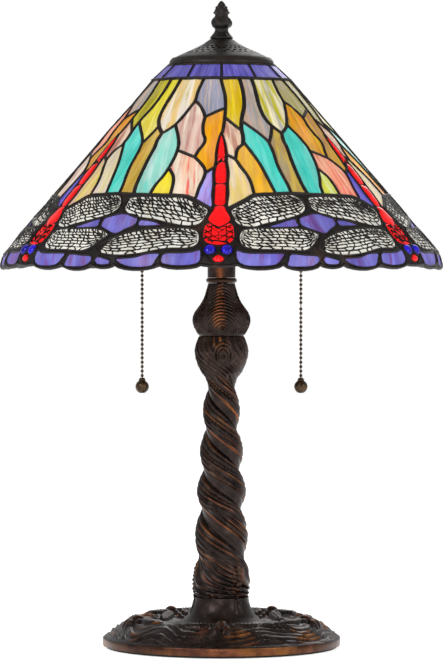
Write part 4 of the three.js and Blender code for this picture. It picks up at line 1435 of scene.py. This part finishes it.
def cap_piercing():
    """Leaf-shaped holes in staggered rows round the cap."""
    holes = []
    for row, (slope, across, down) in enumerate(CAP_HOLES):
        lean_by = 0.9 if row % 2 else -0.9
        for i in range(30):
            middle = 12.0 * i + 6.0 * (row % 2)
            holes.append([(middle + across * math.cos(TAU * k / 8) + lean_by * math.sin(TAU * k / 8),
                           slope + down * math.sin(TAU * k / 8)) for k in range(8)])
    return holes


def add_cap():
    build = Build()
    rows, inner = levels(0.0, CAP.length, 1.5), range(3, int(SECTOR), 3)
    border = [(0.0, s) for s in rows] + [(a, CAP.length) for a in inner]
    border += [(SECTOR, s) for s in reversed(rows)] + [(a, 0.0) for a in reversed(inner)]
    holes = [hole for hole in cap_piercing() if all(0.2 < a < SECTOR - 0.2 for a, s in hole)]
    lines = [(outline, True) for outline in [border] + holes]
    flat, faces, region, regions = arrange(lines, 0, SECTOR, 0.0, CAP.length, 2.4)
    wall = regions[region_at(flat, faces, region, (1.0, 10.0))]
    for part in range(SECTORS):
        plate(build, flat, faces, wall, CAP, part * SECTOR, 0.0, -CAP_WALL, wear=0.02)
    lip = [(45.6, 538.2), (46.4, 537.4), (47.5, 537.2), (48.2, 537.9), (48.3, 539.4), (47.9, 541.0),
           (46.9, 542.6), (45.2, 544.3), (44.6, 543.0), (45.8, 541.0)]
    turn(build, lip, 96, wear=0.03, ring=True)
    finish(build, "pierced_cap", BLACK_BRONZE, 45, "shade", "antique_bronze", "heat_cap")
    build = Build()
    skin_of_revolution(build, levels(562.3, 596.4, 0.42), finial_skin,
                       [(0.25, 596.95), (0.05, 572), (4.7, 572), (4.7, 562.3)], 96)
    finish(build, "finial_cast", BLACK_BRONZE, 60, "finial", "antique_bronze", "finial")


add_column()
add_base()
add_cap()


# ------------------------------------------------------------------ fittings under the shade
def sweep(build, path, radii, columns=16, wear=0.2):
    """A round bar along a path of millimetre points, with a radius at each."""
    points = [Vector(p) for p in path]
    vertices = []
    side = Vector((0, 1, 0))
    for i, here in enumerate(points):
        along = (points[min(i + 1, len(points) - 1)] - points[max(i - 1, 0)]).normalized()
        up = along.cross(side).normalized()
        for k in range(columns):
            angle = TAU * k / columns
            vertices.append((here + (side * math.cos(angle) + up * math.sin(angle)) * radii[i]) * MM)
    faces = ring_faces(len(points), columns)
    faces += [tuple(reversed(range(columns))), tuple((len(points) - 1) * columns + k for k in range(columns))]
    build.island(vertices, faces, wear=float(wear))


# radii of a bead and of the link between two, and about how far apart the beads are
BEAD, LINK, PITCH = 1.55, 0.5, 4.2


def bead_profile(low, high, tail, tip):
    """(radius, height) points up a chain of beads, with bare links below and above its ends."""
    count = max(1, round((high - low - 2 * BEAD) / PITCH))
    pitch = (high - low - 2 * BEAD) / count
    points = [(0.0, low - tail), (LINK, low - tail)]
    for i in range(count + 1):
        middle = low + BEAD + i * pitch
        for step in range(-4, 5):
            angle = math.radians(step * 18.0)
            points.append((max(BEAD * math.cos(angle), LINK), middle + BEAD * math.sin(angle)))
    return points + [(LINK, high + tip), (0.0, high + tip)]


CHAIN_X = 73.4
SOCKET_X = 48.0


def turned(points, columns, x, name, material, sharp_angle, body, slot, node, ring=False):
    """A piece turned from a profile round an upright axis at x."""
    build = Build()
    turn(build, points, columns, (x, 0), ring=ring)
    finish(build, name, material, sharp_angle, body, slot, node)


PULL_BALL = [(0, 234.7), (2.2, 234.7), (2.8, 235.1)]
PULL_BALL += [(6.2 * math.cos(math.radians(a)), 240.6 + 6.2 * math.sin(math.radians(a)))
              for a in range(-58, 62, 8)]
PULL_BALL += [(2.9, 246.3), (3.3, 246.7), (3.3, 247.2), (2.7, 247.6), (2.4, 248.2), (2.3, 248.8),
              (1.6, 249.0), (0, 249.0)]
CHAIN_GUIDE = [(2.5, 387), (2.5, 405.6), (2.9, 406), (3.7, 406), (4.0, 405.6), (4.0, 401), (4.4, 400.4),
               (4.4, 395.6), (4.0, 395), (4.0, 388.4), (4.4, 386.6), (5.2, 385), (5.4, 384.2),
               (5.0, 384.0), (4.4, 384.3), (3.3, 386)]
# each stretch of chain: node, body, lowest and highest bead edge, bare link below and above
CHAIN_PARTS = [("pull_link", "pull", 384.3, 404.0, 1.0, 0.0),
               ("pull_chain", "chain", 316.8, 382.0, 1.3, 0.5),
               ("lower_chain", "ball", 249.3, 314.0, 0.2, 1.3)]


def add_chain(side, name):
    x = side * CHAIN_X
    for label, body, low, high, tail, tip in CHAIN_PARTS:
        turned(bead_profile(low, high, tail, tip), 14, x, f"{label}_beads_{name}", BRASS, 50,
               f"{body}_{name}", "dark_brass", f"{label}_{name}")
    turned(PULL_BALL, 32, x, f"ball_{name}_turned", BRASS, 50, f"ball_{name}", "dark_brass",
           f"pull_ball_{name}")
    build = Build()
    turn(build, CHAIN_GUIDE, 32, (x, 0), ring=True)
    stem = [(side * x, 0, 398) for x in (19.2, 20.4, 21.2, 40, 60, 66, 68.4, 69.6)]
    sweep(build, stem, (3.6, 3.6, 2.2, 2.0, 2.0, 2.1, 2.7, 2.9))
    finish(build, f"guide_{name}_turned", BRASS, 50, "stand", "dark_brass", f"chain_guide_{name}")


def thread_profile(low, high, radius, depth, pitch, steps=6):
    """(radius, height) points up a rolled thread, drawn as rings."""
    count = round((high - low) / pitch * steps)
    return [(radius - depth * (0.5 - 0.5 * math.cos(TAU * i / steps)), lerp(low, high, i / count))
            for i in range(count + 1)]


GLOBE_NECK = [Vector((13.5, 427)), Vector((14.6, 447)), Vector((23.75, 459.4))]
GLOBE = [(0, 425.4), (12.9, 425.4), (13.5, 427), *(tuple(bent(*GLOBE_NECK, i / 8)) for i in range(1, 9))]
GLOBE += [(29 * math.cos(math.radians(a)), 476 + 29 * math.sin(math.radians(a))) for a in range(-29, 90, 7)]
GLOBE += [(0, 505)]
BULB_SCREW = [(0, 399), (4.2, 399), (4.8, 399.8), (6, 400.4), (10.4, 402.2), (12, 403.4),
              *thread_profile(404, 418.4, 12.7, 0.7, 3.6), (12.2, 420), (12.2, 424.6), (0, 424.9)]
SOCKET_CAP = [(0, 375.4), (8, 375.4), (12, 376.5), (15, 378.3), (17.6, 380.9), (18.8, 383), (19, 384.4),
              (18.5, 384.9), (18.5, 385.6), (19, 386.1), (19, 386.8), (18.7, 387), (17.4, 387),
              (17.4, 381.8), (13, 379.2), (0, 378.6)]
SOCKET_SHELL = [(17.8, 387.3), (18.7, 387.3), (19, 387.8), (19, 391.4), (18.4, 392.2), (18.4, 393.4),
                (19, 394.2), (19, 395.2), (18.4, 396), (18.4, 397.2), (18.8, 398), (18.8, 420),
                (18.4, 420.8), (18.4, 422), (19, 422.8), (19, 425.4), (18.6, 426), (17.8, 426)]
SOCKET_INTERIOR = [(0, 382.4), (16.3, 382.4), (17, 383.1), (17, 421.3), (16.3, 422), (13.6, 422),
                   (13.6, 397.6), (0, 397.6)]


def add_socket(side, name):
    x = side * SOCKET_X
    build = Build()
    arm = [(side * x, 0, 366) for x in (17.4, 19.2, 19.8, 21.4, 22.2, 30, 37.5)]
    for i in range(1, 9):
        angle = math.radians(90 * i / 8)
        arm.append((side * (39 + 9 * math.sin(angle)), 0, 366 + 9 * (1 - math.cos(angle))))
    sweep(build, arm, [6.4, 6.4, 7.0, 7.0] + [5.0] * 10 + [4.9], 28)
    finish(build, f"arm_{name}_bent", BRASS, 40, "stand", "dark_brass", f"socket_arm_{name}")
    turned(eased(SOCKET_CAP, 0.3), 48, x, f"cap_{name}_spun", BRASS, 40, "stand", "dark_brass",
           f"socket_cap_{name}")
    turned(eased(SOCKET_SHELL, 0.3), 64, x, f"shell_{name}_spun", BRASS, 40, "stand", "dark_brass",
           f"socket_shell_{name}", ring=True)
    turned(eased(SOCKET_INTERIOR, 0.4), 48, x, f"interior_{name}_moulded", PHENOLIC, 40, "stand",
           "black_phenolic", f"socket_interior_{name}")
    turned(BULB_SCREW, 40, x, f"screw_{name}_rolled", STEEL, 50, f"bulb_{name}", "steel",
           f"bulb_base_{name}")
    turned(GLOBE, 48, x, f"globe_{name}_blown", FROSTED, 60, f"bulb_{name}", "bulb_glass",
           f"bulb_globe_{name}")


def hex_nut(build, low, high, across, bore):
    """A six-sided nut with its corners turned off at both ends."""
    flat = across * math.cos(math.radians(30))

    def side_at(degrees, height):
        limit = across - 1.7 * clamp(1 - min(height - low, high - height) / 0.9)
        return min(flat / math.cos(math.radians((degrees % 60) - 30)), limit), 0.3

    heights = [low, low + 0.3, low + 0.9, high - 0.9, high - 0.3, high]
    skin_of_revolution(build, heights, side_at, [(bore, high), (bore, low)], 72)


CLUSTER = [(5.0, 357.9), (12.6, 357.9), (13.4, 358.4), (16.2, 361.2), (17, 362.6), (17, 369.6),
           (16.4, 370.2), (16.4, 371), (17, 371.6), (16.6, 372.8), (14.2, 374), (5.0, 374)]
RISER = [(0, 366.4), *thread_profile(366.4, 384, 4.8, 0.45, 1.6, 4), (4.6, 385), (4.6, 520),
         *thread_profile(521, 547.4, 4.8, 0.45, 1.6, 4), (4.3, 548), (3.0, 548.1),
         *thread_profile(548.6, 567.4, 3.0, 0.4, 1.2, 4), (2.4, 568), (0, 568)]


def add_cluster():
    turned(eased(CLUSTER, 0.3), 64, 0, "cluster_turned", BRASS, 40, "stand", "dark_brass", "cluster_body",
           ring=True)
    for node, low, high in (("riser_nut", 374.3, 379.0), ("seat_nut", 528.0, 533.7)):
        build = Build()
        hex_nut(build, low, high, 9.0, 5.0)
        finish(build, f"{node}_hex", BRASS, 30, "stand", "dark_brass", node)
    turned(RISER, 20, 0, "riser_threaded", STEEL, 50, "stand", "steel", "riser_rod")


def dress_frame_nodes():
    """Gives the frame's own nodes, mostly hidden ones, the same finishes."""
    finishes = {"antique_bronze": BRONZE, "dark_brass": BRASS, "steel": STEEL, "iron": IRON,
                "lead_came": LEAD, "black_phenolic": PHENOLIC, "felt": FELT, "black_rubber": RUBBER,
                "bulb_glass": FROSTED}
    finish_of = {part["node"]: part["material_slot"] for part in frame["record"]["subparts"]}
    for name, node in frame["nodes"].items():
        material = finishes.get(finish_of.get(name))
        if material:
            for place in node.material_slots:
                place.material = material


add_cluster()
for chain_side, chain_name in ((-1, "left"), (1, "right")):
    add_chain(chain_side, chain_name)
    add_socket(chain_side, chain_name)
dress_frame_nodes()


# ------------------------------------------------------------------ floor, light, camera
# all in metres; the floor lies just under the felt
FLOOR_HALF, FLOOR_LEVEL = 6.0, -0.0006
CAMERA_PLACE, CAMERA_AIM = (0.0, -3.6, 0.375), (0, 0, 0.2935)
LIGHT_AIM = (0, 0, 0.3)
# name, place, width of the square, watts
LIGHTS = [("key", (-1.3, -1.5, 1.3), 0.7, 16), ("fill", (1.5, -1.2, 0.9), 0.8, 9),
          ("front", (-0.1, -2.2, 0.5), 0.35, 5), ("back", (0.3, 1.6, 1.4), 1.2, 10)]


def add_studio():
    corners = [(x * FLOOR_HALF, y * FLOOR_HALF, FLOOR_LEVEL)
               for x, y in ((-1, -1), (1, -1), (1, 1), (-1, 1))]
    floor = new_piece("floor", corners, [(0, 1, 2, 3)], white_floor())
    world = bpy.data.worlds.new("studio")
    world.use_nodes = True
    nodes, links = world.node_tree.nodes, world.node_tree.links
    background = nodes["Background"]
    background.inputs["Color"].default_value = (1, 1, 1, 1)
    path = nodes.new("ShaderNodeLightPath")
    level = nodes.new("ShaderNodeMapRange")
    level.inputs["To Min"].default_value = AMBIENT
    links.new(path.outputs["Is Camera Ray"], level.inputs["Value"])
    links.new(level.outputs["Result"], background.inputs["Strength"])
    bpy.context.scene.world = world
    for name, place, size, power in LIGHTS:
        light = bpy.data.lights.new(name, "AREA")
        light.size = size
        light.energy = power
        lamp = bpy.data.objects.new(name, light)
        lamp.location = place
        lamp.rotation_euler = (Vector(LIGHT_AIM) - Vector(place)).to_track_quat("-Z", "Y").to_euler()
        bpy.context.scene.collection.objects.link(lamp)
    bpy.context.scene.view_settings.view_transform = "Standard"


def add_camera():
    camera = bpy.data.cameras.new("camera")
    camera.lens = 212.7
    camera.sensor_width = 36
    holder = bpy.data.objects.new("camera", camera)
    holder.location = CAMERA_PLACE
    aim = Vector(CAMERA_AIM) - holder.location
    holder.rotation_euler = aim.to_track_quat("-Z", "Y").to_euler()
    bpy.context.scene.collection.objects.link(holder)
    bpy.context.scene.camera = holder


add_camera()
add_studio()
